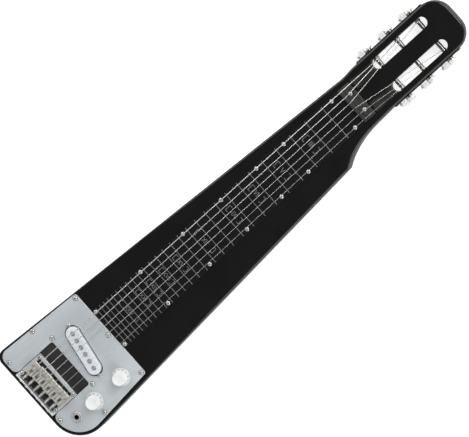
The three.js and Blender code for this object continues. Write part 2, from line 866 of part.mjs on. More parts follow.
function wrapPoints(number, fromX, fromZ) {
  const diameter = stringDiameters[number];
  const { side, x } = rollers[number];
  const radius = rollerDiameter / 2 + seatGap + diameter / 2;
  const reach = Math.hypot(fromX - x, fromZ - tunerAxisZ);
  const start = Math.atan2(fromZ - tunerAxisZ, fromX - x) - Math.acos(radius / reach);
  const wrapPitch = diameter + wrapGap;
  const lastY = slotOuter - slotWallGap - diameter / 2;
  const firstY = lastY - rollerWraps * wrapPitch;
  const count = rollerWraps * wrapSteps;
  const points = [];
  for (let step = 0; step <= count; step += 1) {
    const angle = start - (2 * Math.PI * step) / wrapSteps;
    points.push([
      x + radius * Math.cos(angle),
      side * THREE.MathUtils.lerp(firstY, lastY, step / count),
      tunerAxisZ + radius * Math.sin(angle),
    ]);
  }
  return points;
}

function makeString(number) {
  const points = stringPoints(number);
  const [x, y] = points[0];
  const ballZ = ballRecessDepth - seatGap - ballLength;
  const ball = rod(ballDiameter, ballLength, 8, x, y, ballZ);
  const wire = solid(tube(points, stringDiameters[number], 6));
  return piece(`string_${number + 1}`, joinAll(wire, [ball]), stringSteel);
}

// Pickup
const coverTopZ = plateTopZ + coverProud;
const coverBottomZ = coverTopZ - coverDepth;

function polePlaces() {
  return rollers.map((place, number) => stringY(number, poleSpread / (stringCount - 1)));
}

function placePickup(mesh) {
  mesh.rotation.z = -pickupTilt;
  mesh.position.set(pickupX, 0, 0);
  return mesh;
}

function makePickupCover() {
  const outer = solid(softSlab(
    stadium(coverLength, coverWidth), coverBottomZ, coverDepth, coverEdge, 6, 1,
  ));
  const inner = stadium(coverLength - 2 * coverWall, coverWidth - 2 * coverWall);
  const hollow = slab(inner, coverBottomZ - overrun, coverDepth + overrun - coverWall, 5);
  const holes = polePlaces().map((y) => rod(
    poleDiameter + 2 * seatGap, 2 * coverWall + overrun, 8, 0, y, coverTopZ - 2 * coverWall,
  ));
  return placePickup(piece('pickup_cover', cutAway(outer, [hollow, ...holes]), whitePlastic));
}

function makePickupCoil() {
  const wallGap = coverWall + 2 * seatGap;
  const baseTop = coverBottomZ - seatGap;
  const base = slab(rectangle(
    -coilBaseWidth / 2, coilBaseWidth / 2, -coilBaseLength / 2, coilBaseLength / 2, coverEdge,
  ), baseTop - coilBaseThickness, coilBaseThickness, 3);
  const coil = slab(
    stadium(coverLength - 2 * wallGap, coverWidth - 2 * wallGap), baseTop,
    coverTopZ - coverWall - seatGap - baseTop, 4,
  );
  const poles = polePlaces().map((y) => rod(
    poleDiameter, coverTopZ + poleProud - baseTop, 8, 0, y, baseTop,
  ));
  const posts = [-1, 1].map((end) => rod(
    pickupPostDiameter, plateBottomZ - seatGap - baseTop, 8, 0, (end * pickupScrewSpread) / 2, baseTop,
  ));
  return placePickup(piece('pickup_coil', joinAll(solid(base), [coil, ...poles, ...posts]), copperCoil));
}

// Controls, each drawn with the top of the control plate at z = 0
const underPlate = -plateThickness - seatGap;
const bushBore = shaftDiameter + 2 * runGap;
const shaftSeat = underPlate - potDepth / 2;

function makePot(name, x) {
  const profile = [
    [0, underPlate - potDepth],
    [potDiameter / 2, underPlate - potDepth],
    [potDiameter / 2, underPlate],
    [potBush / 2, underPlate],
    [potBush / 2, seatGap],
    [potNut / 2, seatGap],
    [potNut / 2, seatGap + potNutHeight],
    [potBush / 2, seatGap + potNutHeight],
    [potBush / 2, potBushRise],
    [bushBore / 2, potBushRise],
    [bushBore / 2, shaftSeat],
    [0, shaftSeat],
  ];
  const pot = piece(`${name}_pot`, solid(turned(profile, 12)), nickel);
  pot.position.set(x, controlY, plateTopZ);
  return pot;
}

function makeShaft(name, x) {
  const bottom = shaftSeat + runGap;
  const shaft = piece(`${name}_shaft`, solid(rod(shaftDiameter, shaftRise - bottom, 12)), nickel);
  shaft.position.set(x, controlY, plateTopZ + bottom);
  return shaft;
}

function makeKnob(name, x) {
  const recess = potBushRise + runGap;
  const recessHalf = potNut / 2 + 2 * runGap;
  const bottom = 2 * runGap;
  const top = bottom + knobHeight;
  const profile = [
    [0, shaftRise + runGap],
    [bushBore / 2, shaftRise + runGap],
    [bushBore / 2, recess],
    [recessHalf, recess],
    [recessHalf, bottom],
    [knobSkirt / 2, bottom],
    [knobSkirt / 2, bottom + knobRimHeight],
    [knobCap / 2 + knobEdge, bottom + knobSkirtHeight],
    [knobCap / 2, bottom + knobSkirtHeight + knobEdge],
    [knobCap / 2, top - knobEdge],
    [knobCap / 2 - knobEdge, top],
    [0, top],
  ];
  const knob = piece(`${name}_knob`, solid(turned(profile, 18)), whitePlastic);
  knob.position.set(x, controlY, plateTopZ);
  return knob;
}

function makeJack() {
  const profile = [
    [0, underPlate - jackDepth],
    [jackBarrel / 2, underPlate - jackDepth],
    [jackBarrel / 2, underPlate - jackFlangeThickness],
    [jackFlange / 2, underPlate - jackFlangeThickness],
    [jackFlange / 2, underPlate],
    [jackBarrel / 2, underPlate],
    [jackBarrel / 2, jackRise],
    [jackBore / 2, jackRise],
    [jackBore / 2, underPlate - jackDepth + jackFlangeThickness],
    [0, underPlate - jackDepth + jackFlangeThickness],
  ];
  const jack = piece('jack_socket', solid(turned(profile, 12)), chrome);
  jack.position.set(jackX, controlY, plateTopZ);
  return jack;
}

function makeJackNut() {
  const hexagon = new THREE.Shape();
  const reach = jackNutAcross / Math.sqrt(3);
  for (let corner = 0; corner < 6; corner += 1) {
    const angle = (Math.PI * corner) / 3;
    const spot = [reach * Math.cos(angle), reach * Math.sin(angle)];
    if (corner === 0) hexagon.moveTo(...spot);
    else hexagon.lineTo(...spot);
  }
  hexagon.holes.push(circle(0, 0, jackBarrel + 2 * seatGap));
  const nut = piece('jack_nut', solid(slab(hexagon, seatGap, jackNutHeight, 6)), chrome);
  nut.position.set(jackX, controlY, plateTopZ);
  return nut;
}

// Tuners. On each side of the headstock z points out of its side face, from the back of the plate.
const tunerOrders = [0, 1, 2];
const bracketHalf = wormLength / 2 + runGap + bracketWall;

function tunerSide(side) {
  const group = new THREE.Group();
  group.rotation.x = (-side * Math.PI) / 2;
  group.position.set(middleRollerX, side * tunerPlateInner, tunerAxisZ);
  return group;
}

function tunerScrewPlaces() {
  const nutEnd = tunerScrewInset - tunerPitch - tunerPlateNutEnd;
  const headEnd = tunerPitch + tunerPlateHeadEnd - tunerScrewInset;
  const between = tunerPitch / 2 + gearDiameter / 4;
  return [nutEnd, between - tunerPitch, between, headEnd];
}

function makeTunerPlate(name) {
  const nutEnd = -tunerPitch - tunerPlateNutEnd;
  const headEnd = tunerPitch + tunerPlateHeadEnd;
  const halfHeight = tunerPlateHeight / 2;
  const shape = rectangle(nutEnd, headEnd, -halfHeight, halfHeight, bracketWall);
  tunerOrders.forEach((order) => {
    shape.holes.push(circle((order - 1) * tunerPitch, 0, rollerDiameter + 2 * runGap));
  });
  tunerScrewPlaces().forEach((x) => shape.holes.push(circle(x, 0, tunerScrewHole)));
  const outer = gearMid + wormDiameter / 2 + runGap;
  const brackets = tunerOrders.flatMap((order) => {
    const x = (order - 1) * tunerPitch - wormOffset;
    const low = x - bracketWidth / 2;
    const high = x + bracketWidth / 2;
    const inner = bracketHalf - bracketWall;
    const foot = tunerPlateThickness / 2;
    return [
      block([low, inner, foot], [high, bracketHalf, outer + bracketWall]),
      block([low, -bracketHalf, foot], [high, -inner, outer + bracketWall]),
      block([low, -bracketHalf, outer], [high, bracketHalf, outer + bracketWall]),
    ];
  });
  const bores = tunerOrders.map((order) => {
    const length = 2 * bracketHalf + 2 * overrun;
    const bore = rod(wormShaftDiameter + 2 * runGap, length, 8, 0, 0, -length / 2);
    return bore.rotateX(Math.PI / 2).translate((order - 1) * tunerPitch - wormOffset, 0, gearMid);
  });
  const plate = joinAll(solid(slab(shape, 0, tunerPlateThickness, 4)), brackets);
  return piece(name, cutAway(plate, bores), darkMetal);
}

function gearShape() {
  const shape = new THREE.Shape();
  const tipShares = [-0.16, 0.16];
  const rootShare = 0.5;
  for (let tooth = 0; tooth < gearTeeth; tooth += 1) {
    const spots = [
      ...tipShares.map((share) => [share, gearDiameter / 2]),
      [rootShare, gearDiameter / 2 - toothDepth],
    ];
    spots.forEach(([share, radius], i) => {
      const angle = (2 * Math.PI * (tooth + share)) / gearTeeth;
      const spot = [radius * Math.cos(angle), radius * Math.sin(angle)];
      if (tooth === 0 && i === 0) shape.moveTo(...spot);
      else shape.lineTo(...spot);
    });
  }
  return shape;
}

function makeRoller(number) {
  const inner = slotInner - rollerBearing - tunerPlateInner;
  const gearBottom = tunerPlateThickness + gearStandoff;
  const bar = rod(rollerDiameter, gearBottom + gearThickness / 2 - inner, 10, 0, 0, inner);
  const gear = slab(gearShape(), gearBottom, gearThickness, 1);
  const roller = piece(`string_roller_${number + 1}`, joinAll(solid(bar), [gear]), nickel);
  roller.position.x = rollers[number].x - middleRollerX;
  return roller;
}

function wormProfile() {
  const half = wormLength / 2;
  const shaft = wormShaftDiameter / 2;
  const crest = wormDiameter / 2;
  const collar = -bracketHalf - runGap;
  const collarBottom = collar - bracketWall;
  const top = bracketHalf + bracketWall / 2;
  return [
    [0, collarBottom - buttonSocketDepth],
    [shaft, collarBottom - buttonSocketDepth],
    [shaft, collarBottom],
    [crest, collarBottom],
    [crest, collar],
    [shaft, collar],
    [shaft, -half],
    [crest, -half],
    [crest, half],
    [shaft, half],
    [shaft, top],
    [0, top],
  ];
}

function makeWorm(number) {
  const { side, x } = rollers[number];
  const worm = piece(`worm_shaft_${number + 1}`, solid(turned(wormProfile(), 6)), darkMetal);
  worm.position.set(x - wormOffset, side * wormY, tunerAxisZ);
  return worm;
}

// The button's outline from its rounded lower end to its neck, as shares of its half width and height
const buttonShares = [
  [0, 0], [0.66, 0.02], [0.95, 0.2], [0.97, 0.56], [0.42, 0.94], [0, 0.95],
];

function makeButton(number) {
  const { side, x } = rollers[number];
  const topZ = tunerAxisZ - bracketHalf - 2 * runGap - bracketWall;
  const profile = buttonShares.map(([widthShare, heightShare]) => [
    (widthShare * buttonWidth) / 2, (heightShare - 1) * buttonHeight,
  ]);
  const wing = turned(profile, 12).scale(1, buttonThickness / buttonWidth, 1);
  const neck = rod(buttonNeck, buttonHeight / 3, 10, 0, 0, -buttonHeight / 3);
  const socket = rod(
    wormShaftDiameter + 2 * runGap, buttonSocketDepth + overrun, 8, 0, 0, -buttonSocketDepth,
  );
  const button = piece(
    `tuner_button_${number + 1}`, cutAway(joinAll(solid(wing), [neck]), [socket]), pearl,
  );
  button.position.set(x - wormOffset, side * wormY, topZ);
  if (number === stringCount - 1) button.rotation.z = -buttonFirstTurn;
  return button;
}

// The whole guitar
const guitar = new THREE.Group();
guitar.add(makeBody(), makeFretboard(), makeNut(), makeControlPlate());
guitar.add(makePickupCover(), makePickupCoil(), makeBridgePlate(), makeJack(), makeJackNut());
for (const [name, x] of [['volume', volumeX], ['tone', toneX]]) {
  guitar.add(makePot(name, x), makeShaft(name, x), makeKnob(name, x));
}
for (const [name, side] of [['bass', 1], ['treble', -1]]) {
  const group = tunerSide(side);
  group.add(makeTunerPlate(`tuner_plate_${name}`));
  rollers.forEach((place, number) => {
    if (place.side === side) group.add(makeRoller(number));
  });
  guitar.add(group);
}
for (let number = 0; number < stringCount; number += 1) {
  guitar.add(makeSaddle(number), makeIntonationScrew(number), makeSpring(number));
  guitar.add(makeString(number), makeWorm(number), makeButton(number));
}

for (let number = 0; number < stringCount; number += 1) {
  const wraps = stringPoints(number).slice(-(rollerWraps * wrapSteps + 1));
  const springGap = leastGap(springPoints(number), springWire, springSteps);
  const wrapLeast = leastGap(wraps, stringDiameters[number], wrapSteps);
  console.log(`gap in spring ${number + 1}: ${springGap.toFixed(2)} mm`);
  console.log(`gap in the turns of string ${number + 1}: ${wrapLeast.toFixed(2)} mm`);
}

export default guitar;
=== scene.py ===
import random
from math import acos, atan2, copysign, cos, hypot, pi, radians, sin, sqrt, tan

import bmesh
import bpy
from mathutils import Matrix, Vector


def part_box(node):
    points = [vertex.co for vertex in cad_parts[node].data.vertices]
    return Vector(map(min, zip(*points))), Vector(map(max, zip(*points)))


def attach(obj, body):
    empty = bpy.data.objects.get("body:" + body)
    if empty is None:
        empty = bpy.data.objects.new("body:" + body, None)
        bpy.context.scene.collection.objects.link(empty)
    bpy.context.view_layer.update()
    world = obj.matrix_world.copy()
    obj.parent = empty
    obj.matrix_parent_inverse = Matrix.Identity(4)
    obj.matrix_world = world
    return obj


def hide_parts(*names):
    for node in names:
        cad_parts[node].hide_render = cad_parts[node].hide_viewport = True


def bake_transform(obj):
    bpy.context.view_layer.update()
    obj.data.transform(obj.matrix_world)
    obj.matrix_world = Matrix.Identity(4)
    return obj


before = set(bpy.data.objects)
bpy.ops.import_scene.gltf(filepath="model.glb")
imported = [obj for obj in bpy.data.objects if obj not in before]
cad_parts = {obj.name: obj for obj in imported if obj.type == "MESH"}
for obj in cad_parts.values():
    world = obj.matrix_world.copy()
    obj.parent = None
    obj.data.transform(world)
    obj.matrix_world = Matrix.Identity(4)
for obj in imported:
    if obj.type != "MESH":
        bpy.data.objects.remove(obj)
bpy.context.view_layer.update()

# One millimetre in metres
MM = 0.001
SEED = 7
STRINGS = range(1, 7)
SIDES = {"bass": 1, "treble": -1}
SIGNS = (1, -1)
FLAT = Matrix.Identity(4)
QUARTER = pi / 2
TURN = 2 * pi

# Steps round a circle, from large forms to small ones
FINE_STEPS = 48
WIDE_STEPS = 40
RIM_STEPS = 36
ROUND_STEPS = 32
OVAL_STEPS = 28
BORE_STEPS = 24
SMALL_STEPS = 20
WAIST_STEPS = 16
EDGE_STEPS = 8
SHEET_STEPS = 6

# Camera and studio
CAMERA_PLACE = (1158.8, -118, 3357.6)
CAMERA_AIM = (323.1, -4.7, 38)
CAMERA_UP_TURN = radians(47.1)
CAMERA_LENS_MM = 206.46
CAMERA_NEAR = 100
CAMERA_FAR = 60000
FLOOR_HALF = 9000
FLOOR_Z = -0.2
FLOOR_COLOUR = (0.8, 0.8, 0.8)
FLOOR_SHADE = 0.98
FLOOR_GRAIN = 3
FLOOR_LIFT = 0.7
HORIZON_COLOUR = (0.92, 0.93, 0.95)
ZENITH_COLOUR = (0.2, 0.2, 0.21)
HORIZON_SHARE = 0.05
ZENITH_SHARE = 0.75
# Each lamp: name, place, size across, power in watts
LAMPS = (
    ("head_softbox", (2300, 300, 2300), 1500, 44),
    ("end_softbox", (3300, 200, 900), 1300, 12),
    ("bass_softbox", (300, 2300, 1900), 1400, 28),
    ("treble_softbox", (200, -2300, 1900), 1400, 28),
)

# Finishes: darker and lighter colour, grains per metre, range of roughness, and then as needed
# metallic, bump in metres, specular level and stretch of the grain
EVEN = (1, 1, 1)
LONG_X = (0.08, 1, 1)
PLAIN_SPECULAR = 0.5
FINISHES = {
    "lacquer": ((0.0035, 0.0035, 0.003), (0.0055, 0.0055, 0.005), 22, (0.07, 0.13), 0, 1e-5, 0.4),
    # Painted shade: the walls' copy of the lacquer, a touch darker and with weak reflection
    "side_lacquer_shaded": ((0.003, 0.003, 0.003), (0.005, 0.005, 0.0045), 22, (0.3, 0.4), 0, 1e-5, 0.015),
    "board": ((0.004, 0.004, 0.004), (0.008, 0.0078, 0.0075), 420, (0.32, 0.46), 0, 3e-5, 0.2),
    "nut": ((0.042, 0.043, 0.04), (0.068, 0.069, 0.065), 260, (0.3, 0.42), 0.6, 2e-5, 0.5, (1, 0.1, 1)),
    "plate": ((0.56, 0.6, 0.615), (0.62, 0.66, 0.675), 14, (0.36, 0.46), 0.3, 8e-6),
    "white": ((0.68, 0.71, 0.74), (0.75, 0.78, 0.81), 90, (0.26, 0.36), 0, 1e-5),
    "knob": ((0.8, 0.81, 0.8), (0.86, 0.87, 0.86), 120, (0.24, 0.34), 0, 1e-5),
    # Painted shade: a darker copy of the knob's white for the skirt
    "skirt_painted_shade": ((0.58, 0.6, 0.58), (0.68, 0.7, 0.68), 120, (0.24, 0.34), 0, 1e-5),
    "ramp": ((0.009, 0.009, 0.008), (0.026, 0.025, 0.022), 60, (0.4, 0.55), 0, 1e-5, 0.16),
    "roller": ((0.14, 0.14, 0.13), (0.3, 0.3, 0.28), 400, (0.2, 0.32), 1, 0, 0.5, (0.3, 1, 0.3)),
    "strip": ((0.02, 0.02, 0.021), (0.05, 0.049, 0.048), 120, (0.14, 0.26), 1, 0, 0.5, LONG_X),
    "panel": ((0.018, 0.018, 0.0175), (0.028, 0.028, 0.027), 40, (0.3, 0.42), 0, 1e-5),
    "dial_ink": ((0.12, 0.125, 0.12), (0.2, 0.205, 0.2), 900, (0.4, 0.5)),
    "socket": ((0.62, 0.62, 0.6), (0.78, 0.78, 0.76), 60, (0.2, 0.3), 0.5),
    "nickel": ((0.55, 0.53, 0.46), (0.7, 0.68, 0.62), 140, (0.2, 0.34), 1, 1e-5),
    "screw": ((0.5, 0.51, 0.5), (0.64, 0.65, 0.64), 300, (0.22, 0.34), 0.7),
    "saddle": ((0.5, 0.49, 0.42), (0.68, 0.67, 0.6), 240, (0.3, 0.42), 0.4, 2e-5),
    # Painted reflection: near white for the tuners' brackets, worms and hubs, in place of their bright
    # reflection
    "bracket_painted_reflection": ((0.86, 0.86, 0.85), (0.93, 0.93, 0.92), 200, (0.2, 0.32), 0.2, 1e-5),
    # Painted shade: dark steel for the saddles' front faces
    "saddle_front_shade": ((0.05, 0.05, 0.052), (0.12, 0.12, 0.125), 120, (0.14, 0.26), 1, 0, 0.5, LONG_X),
    "brass": ((0.42, 0.36, 0.2), (0.6, 0.54, 0.36), 260, (0.26, 0.4), 1, 2e-5),
    # Painted reflection: near white for the gears, in place of their bright reflection
    "gear_painted_reflection": ((0.78, 0.775, 0.7), (0.9, 0.895, 0.83), 260, (0.24, 0.36), 0.25, 2e-5),
    "pole": ((0.34, 0.35, 0.35), (0.44, 0.45, 0.45), 300, (0.3, 0.42), 0.4),
    "set_screw": ((0.1, 0.1, 0.095), (0.3, 0.3, 0.28), 300, (0.2, 0.34), 1),
    "string_steel": ((0.8, 0.79, 0.77), (0.92, 0.91, 0.89), 500, (0.16, 0.26), 1),
    "steel": ((0.62, 0.61, 0.58), (0.8, 0.79, 0.76), 500, (0.22, 0.34), 1),
    "print": ((0.17, 0.173, 0.173), (0.28, 0.283, 0.283), 260, (0.35, 0.5), 0.3),
    "marker": ((0.12, 0.125, 0.125), (0.22, 0.225, 0.22), 320, (0.35, 0.5)),
    # Painted shade: near black for the rims round screws, the height screws' sockets and the jack's bore
    "painted_shade_black": ((0.002, 0.002, 0.002), (0.006, 0.006, 0.006), 400, (0.5, 0.7)),
    "fibre": ((0.02, 0.018, 0.016), (0.05, 0.045, 0.04), 240, (0.6, 0.8), 0, 3e-5),
}
# Wound wire: darker and lighter colour, width of a turn in metres, metallic, roughness, axis
WOUND = {
    "wire_wound": ((0.4, 0.39, 0.37), (0.66, 0.65, 0.62), 0.00042, 1, (0.16, 0.28), "X"),
    "copper": ((0.2, 0.06, 0.025), (0.5, 0.2, 0.1), 0.0003, 0.8, (0.3, 0.45), "Z"),
}
WOUND_WAVER = 0.4
# The phase of Blender's wave texture grows by this much per unit of length
WAVE_GROWTH = 20
WOUND_BUMP_SHARE = 1 / 3
GRAIN_DETAIL = 4
BLEND_FROM = 0.35
BLEND_TO = 0.65
BUMP_STRENGTH = 0.5
BRIDGE_GRAIN = 160
BRIDGE_BRIGHT = ((0.7, 0.71, 0.71), (0.82, 0.83, 0.83))
# Painted shade: the dark colour of the patch under the saddles and springs
BRIDGE_SHADE_COLOURS = ((0.02, 0.02, 0.018), (0.05, 0.05, 0.045))
BRIDGE_ROUGHNESS = (0.28, 0.4)
BRIDGE_METALLIC = 0.45
# The painted shade under the saddles and springs is given in metres, as the shader sees it
BRIDGE_SHADE_X = (-0.031, 0.0035)
BRIDGE_SHADE_Y = (-0.0312, 0.0312)
BRIDGE_SHADE_SOFT = 0.00015
PEARL_COLOURS = ((0.86, 0.855, 0.84), (0.93, 0.925, 0.91))
PEARL_BLEND = (0.4, 0.85)
PEARL_GRAIN = 180
PEARL_DETAIL = 6
PEARL_FLAKES = 320
PEARL_FLAKE_SHARE = 0.5
PEARL_GLOSS = {"Roughness": 0.16, "Sheen Weight": 0.1, "Coat Weight": 0.5}
PEARL_BUMP = 4e-5

# Making of solids
LEAST_RADIUS = 0.001
NODE_MERGE = 0.001
NODE_FLAT_ANGLE = 0.02
NODE_SHARP = radians(40)
PIECE_MERGE = 0.002
SHARP = radians(32)
BODY_SHARP = radians(28)
HEAD_RINGS = 7
HEAD_DOME = 0.92
CROSS_REACH = 0.62
CROSS_ARM = 0.17
CROSS_DEPTH = 0.6

# Neck and strings
SCALE_LENGTH = 533.4
FRETS_PER_OCTAVE = 12
NUT_PITCH = 8.96
BRIDGE_PITCH = 10.5
STRING_DIAMETERS = (1.3, 1.05, 0.85, 0.6, 0.45, 0.4)
WOUND_STRINGS = 3
STRING_SIDES = 10
STRING_HOLE_BACK = 13.3
STRING_FOOT_Z = (3, 46.8)
STRING_OVER_Z = 49.4
STRING_BEND = 1.6
STRING_BEND_DEGREES = (0, 22, 45, 68, 90)
STRING_GAP = 0.3
NUT_TOP_Z = 46.4
NUT_XS = (533.1, 536.7)
# The ball at a string's end: radius, z
BALL = (
    (0.8, 0.6), (1.9, 0.6), (2.1, 0.9), (2.1, 1.8), (1.6, 2.4), (2.1, 3), (2.1, 3.9), (1.9, 4.2), (0.8, 4.2),
)
WRAP_END_Y = 25.5
WRAP_SPACE = 0.5
WRAP_WIDTHS = 1.25
SCENE_WRAPS = 2.25

# Body: its two sides, corners, and curves with two points that pull them and their end
FACE_Z = 38
REAR_X = -42
BASS_AT_SADDLES = 70.8
BASS_SLOPE = -1 / 15
REAR_BASS_RADIUS = 12.5
TREBLE_AT_SADDLES = -88.6
REAR_TREBLE_RADIUS = 42
SHOULDER = (473.5, -56.3)
SHOULDER_RADIUS = 5
NECK_CURVE = ((493.52, -43.508), (515.5, -37.385), (543.5, -36.8))
HEAD_HALF = 35.8
HEAD_CORNERS = ((568, -HEAD_HALF), (706.4, -HEAD_HALF), (706.4, HEAD_HALF), (568, HEAD_HALF))
HEAD_RADIUS = 25.5
WAIST_LEAD = (559, HEAD_HALF)
WAIST_XS = (550, 543)
HEAD_BACK_Z = 16
HEEL_XS = (550, 571)
HEEL_STEPS = 10
BODY_EDGE = 3
WALL_SLOPE = 0.3
SLOT_MIDDLE = (630.1, 18.85)
SLOT_SIZE = (92, 14.9)
RAMP_YS = (11.4, 26.3)
# The ramps' side view, up beyond the face
RAMP = ((553, FACE_Z), (591.55, 29), (591.55, 40), (553, 40))
RAMP_MARGIN = 0.3
RAMP_SLOPE = 0.9
RAMP_LOW_Z = 27
ROUT_FLOOR_Z = 10
# Routs: low and high x, low and high y, radius
PICKUP_ROUT = (-18, 18, -44.75, 44.75, 6)
CONTROL_ROUT = (-25, 87.4, -73, -43, 6)
STRING_BORE = 3
ROLLER_BORE = (3.7, 6.4, 37.8)
BALL_RECESS = 5.2
BALL_RECESS_Z = (-2, 4.5)
# Ferrules: diameter and steps of the rim and of its bore
FERRULE_RIM = (7.4, 36)
FERRULE_BORE = (4.6, 30)
FERRULE_Z = (0.02, 0.5)
FERRULE_EDGE = 0.15
CUT_OVERRUN = 2

# Plates: corners of outlines have x, y and radius
PLATE_BOTTOM_Z = 38.3
PLATE_TOP_Z = 40.3
PLATE_EDGE = 0.45
PLATE_CORNERS = (
    (-36.3, -87.4, 37.6), (98.6, -75, 3.5), (98.6, 62.1, 3.5), (-36.3, 69.8, 11.5),
    (-36.3, 36.8, 8.5), (31.4, 36.8, 3.5), (31.4, -36.8, 3.5), (-36.3, -36.8, 8.5),
)
PANEL = (8.5, 31.2, -36.6, 36.6, 3.5)
PANEL_Z = (38.02, 38.25)
PANEL_EDGE = 0.05
PLATE_HOLE = 3.4
PICKUP_HOLE = 3.2
CONTROL_HOLE = 10
NUT_EDGE = 0.35
# Screws: z of the seat, diameter, rise, and places
NUT_SCREWS = (40.5, 5.2, 1.3, ((542.8, 13.1), (542.8, -13.1)))
PLATE_SCREWS = (PLATE_TOP_Z, 6, 1.7, (
    (-32.4, 54.2), (-32.4, -46.8), (20.5, 63.8), (20.5, -77.2), (34.4, 39.8), (34.4, -39.8),
    (94, 57.8), (94, -6.2), (94, -70.7),
))
BRIDGE_SCREWS = (PLATE_TOP_Z, 5.8, 2, ((4.8, 32.2), (4.8, -32.2), (-27.4, 32.2), (-27.4, -32.2)))
PICKUP_SCREW = (PLATE_TOP_Z, 5.4, 1.5)
BOARD_SCREW = (39.9, 5.2, 1.2)
# Painted shadow rims round screw heads: width beyond the head, and rise
SHADOW_RIM_WIDTH = 0.5
SHADOW_RIM_RISE = 0.08

# Fretboard
BOARD_TOP_Z = 39.9
BOARD_REAR_X = 99.4
BOARD_REAR_HALVES = (30.9, 33.4)
BOARD_FRONT_HALVES = (25.9, 26.2)
BOARD_CORNERS = ((99.4, -33.4, 1), (533.1, -26.2, 1), (533.1, 25.9, 1), (99.4, 30.9, 1))
BOARD_EDGE = 0.3
BOARD_SCREW_REAR_X = 102.6
BOARD_SCREW_SPACES = (19, 13, 9, 6, 4, 1)
BOARD_SCREW_INSET = 4.1
BOARD_HOLE = 3
FRETS = 28
FRET_LINE_HALF = 0.4
FRET_LINE_INSET = 0.7
PRINT_HEIGHT = 0.16
PRINT_Z = (39.82, 39.98)
MARKERS = (
    (3, "III"), (5, "V"), (7, "VII"), (9, "IX"), (12, "XII"),
    (15, "XV"), (17, "XVII"), (19, "XIX"), (21, "XXI"), (24, "XXIV"),
)
WIDE_MARKERS = (12, 24)
MARKER_HALF = 12.5
WIDE_MARKER_HALF = 17.5
MARKER_Y = -0.8
MARKER_BASE_WIDTH = 6
MARKER_SPACE_SHARE = 0.17
MARKER_STROKE = 0.75
MARKER_LEG = 4.2
NUMERAL_SHARE = 0.72 / 0.69
NUMERAL_TIGHT = 0.82

# Bridge: its side view has one radius for each corner
BRIDGE_RADII = (2.6, 0.3, 0.5, 0.8, 0.5, 0.5)
BRIDGE_EDGE = 0.3
BRIDGE_HOLE = 4
SADDLE_CROWN_Z = 49
# The saddles' side view: x, z and radius
SADDLE_VIEW = (
    (-19, 42, 0.3), (-17.4, 42, 0.3), (-17.4, 46.4, 0.7), (0.4, 46.4, 0.5), (0.4, 43.4, 0.3), (2, 43.4, 0.3),
    (2, 48, 0.6), (1, SADDLE_CROWN_Z, 0.5), (-1, SADDLE_CROWN_Z, 0.8), (-4, 48, 2), (-19, 48, 1.8),
)
SADDLE_HALF = 4.95
SADDLE_EDGE = 0.25
SADDLE_FRONT_SLOPE = 0.75
SADDLE_FRONT_X = -2
SADDLE_SLOT = (8.5, 3.2, 10)
SADDLE_SLOT_X = -12.75
SADDLE_SLOT_Z = (45, 50)
SADDLE_LEG_X = -5.6
SADDLE_LEG_Y = 3.3
# A height screw with its socket: radius, z
SADDLE_LEG = ((1, 40.6), (1.3, 41), (1.3, 48), (1.05, 48.25), (0.85, 48.25), (0.85, 46.85), (0, 46.75))
# The socket's faces between these heights get painted shade
SOCKET_SHADE_Z = (46.65, 47.85)
SADDLE_SETBACKS = (1.8, 0.4, 0, 0.6, 0.2, 0)
TUNE_SCREW_Z = 45
TUNE_BORE = 1.7
TAB_BORE = (-20, 2.9)
TUNE_HEAD_X = -33.3
# The head's diameter, rise, and its cross's arm and depth
TUNE_HEAD = (5.2, 2, 0.2, 0.45)
TUNE_CORE = ((1.05, -0.1), (1.05, 17.6), (0.6, 18.2))
# Coils: start and end in x for the thread, then radius, turns and steps in a turn
TUNE_THREAD = (-32.9, -15.7, 1.08, 17.2 / 0.7, 12)
TUNE_THREAD_WIRE = (0.26, 5)
SPRING_COIL = (2.1, 7, 18)
SPRING_WIRE = 0.3

# Pickup
PICKUP_X = 56
PICKUP_TILT = radians(10.3)
# Ovals: length, width, steps
COVER = (70.5, 18.6, 28)
COVER_INSIDE = (67.7, 15.8, 28)
COVER_WINDOW = (74.3, 22.4, 28)
COVER_WINDOW_SHIFT = -0.4
WINDING = (65.5, 13.6, 24)
# Sheets: low and high z, edge, steps of the edge
COVER_CAP_Z = (41.4, 45.9, 1.5, 5)
COVER_WALL_Z = (29.5, 42.9)
COIL_BASE = (-10, 10, -42.25, 42.25, 3)
COIL_BASE_Z = (27.2, 29.2, 0.3)
WINDING_Z = (29.4, 40.9)
POST_Z = (29.2, 38, 0.3)
POST_DIAMETER = 5
POLE = ((2.5, 29.2), (2.5, 46.25), (2.15, 46.6))
POLE_HOLE = 5.4
POLE_PITCH = 10.44
PICKUP_SCREW_Y = 38.25

# Controls
CONTROL_Y = -58
KNOB_XS = {"volume": 20.5, "tone": 69.4}
JACK_X = -11.5
# A knob below and above the slope of its skirt: radius, z
KNOB_FOOT = ((3.4, 11.1), (3.4, 5), (7.6, 5), (7.6, 0.6), (12.5, 0.6), (12.7, 0.8), (12.7, 1.5))
KNOB_CROWN = (
    (8.6, 6), (8.6, 6.5), (8.6, 13.9), (8.5, 14.5), (7.9, 15.2), (7.3, 15.2), (6.7, 14.95), (0, 14.9),
)
KNOB_SLOPE_END = (9.1, 5.6)
KNOB_SLOPE_STEPS = 6
KNOB_SLOPE_POWERS = (0.85, 1.15)
KNOB_SKIRT_TOP_Z = 45.9
KNOB_RIBS = 44
KNOB_RIB_DEPTH = 0.4
KNOB_RIB_Z = (6.2, 14.2)
DIGITS = range(10)
DIGIT_SIZE = 3.3
DIGIT_HEIGHT = 0.3
DIGIT_PLACE = (10.7, 0, 3.6)
DIGIT_TILT = radians(44)
DIGIT_START = {"volume": radians(-72), "tone": radians(-60)}
DIGIT_STEP = radians(30)
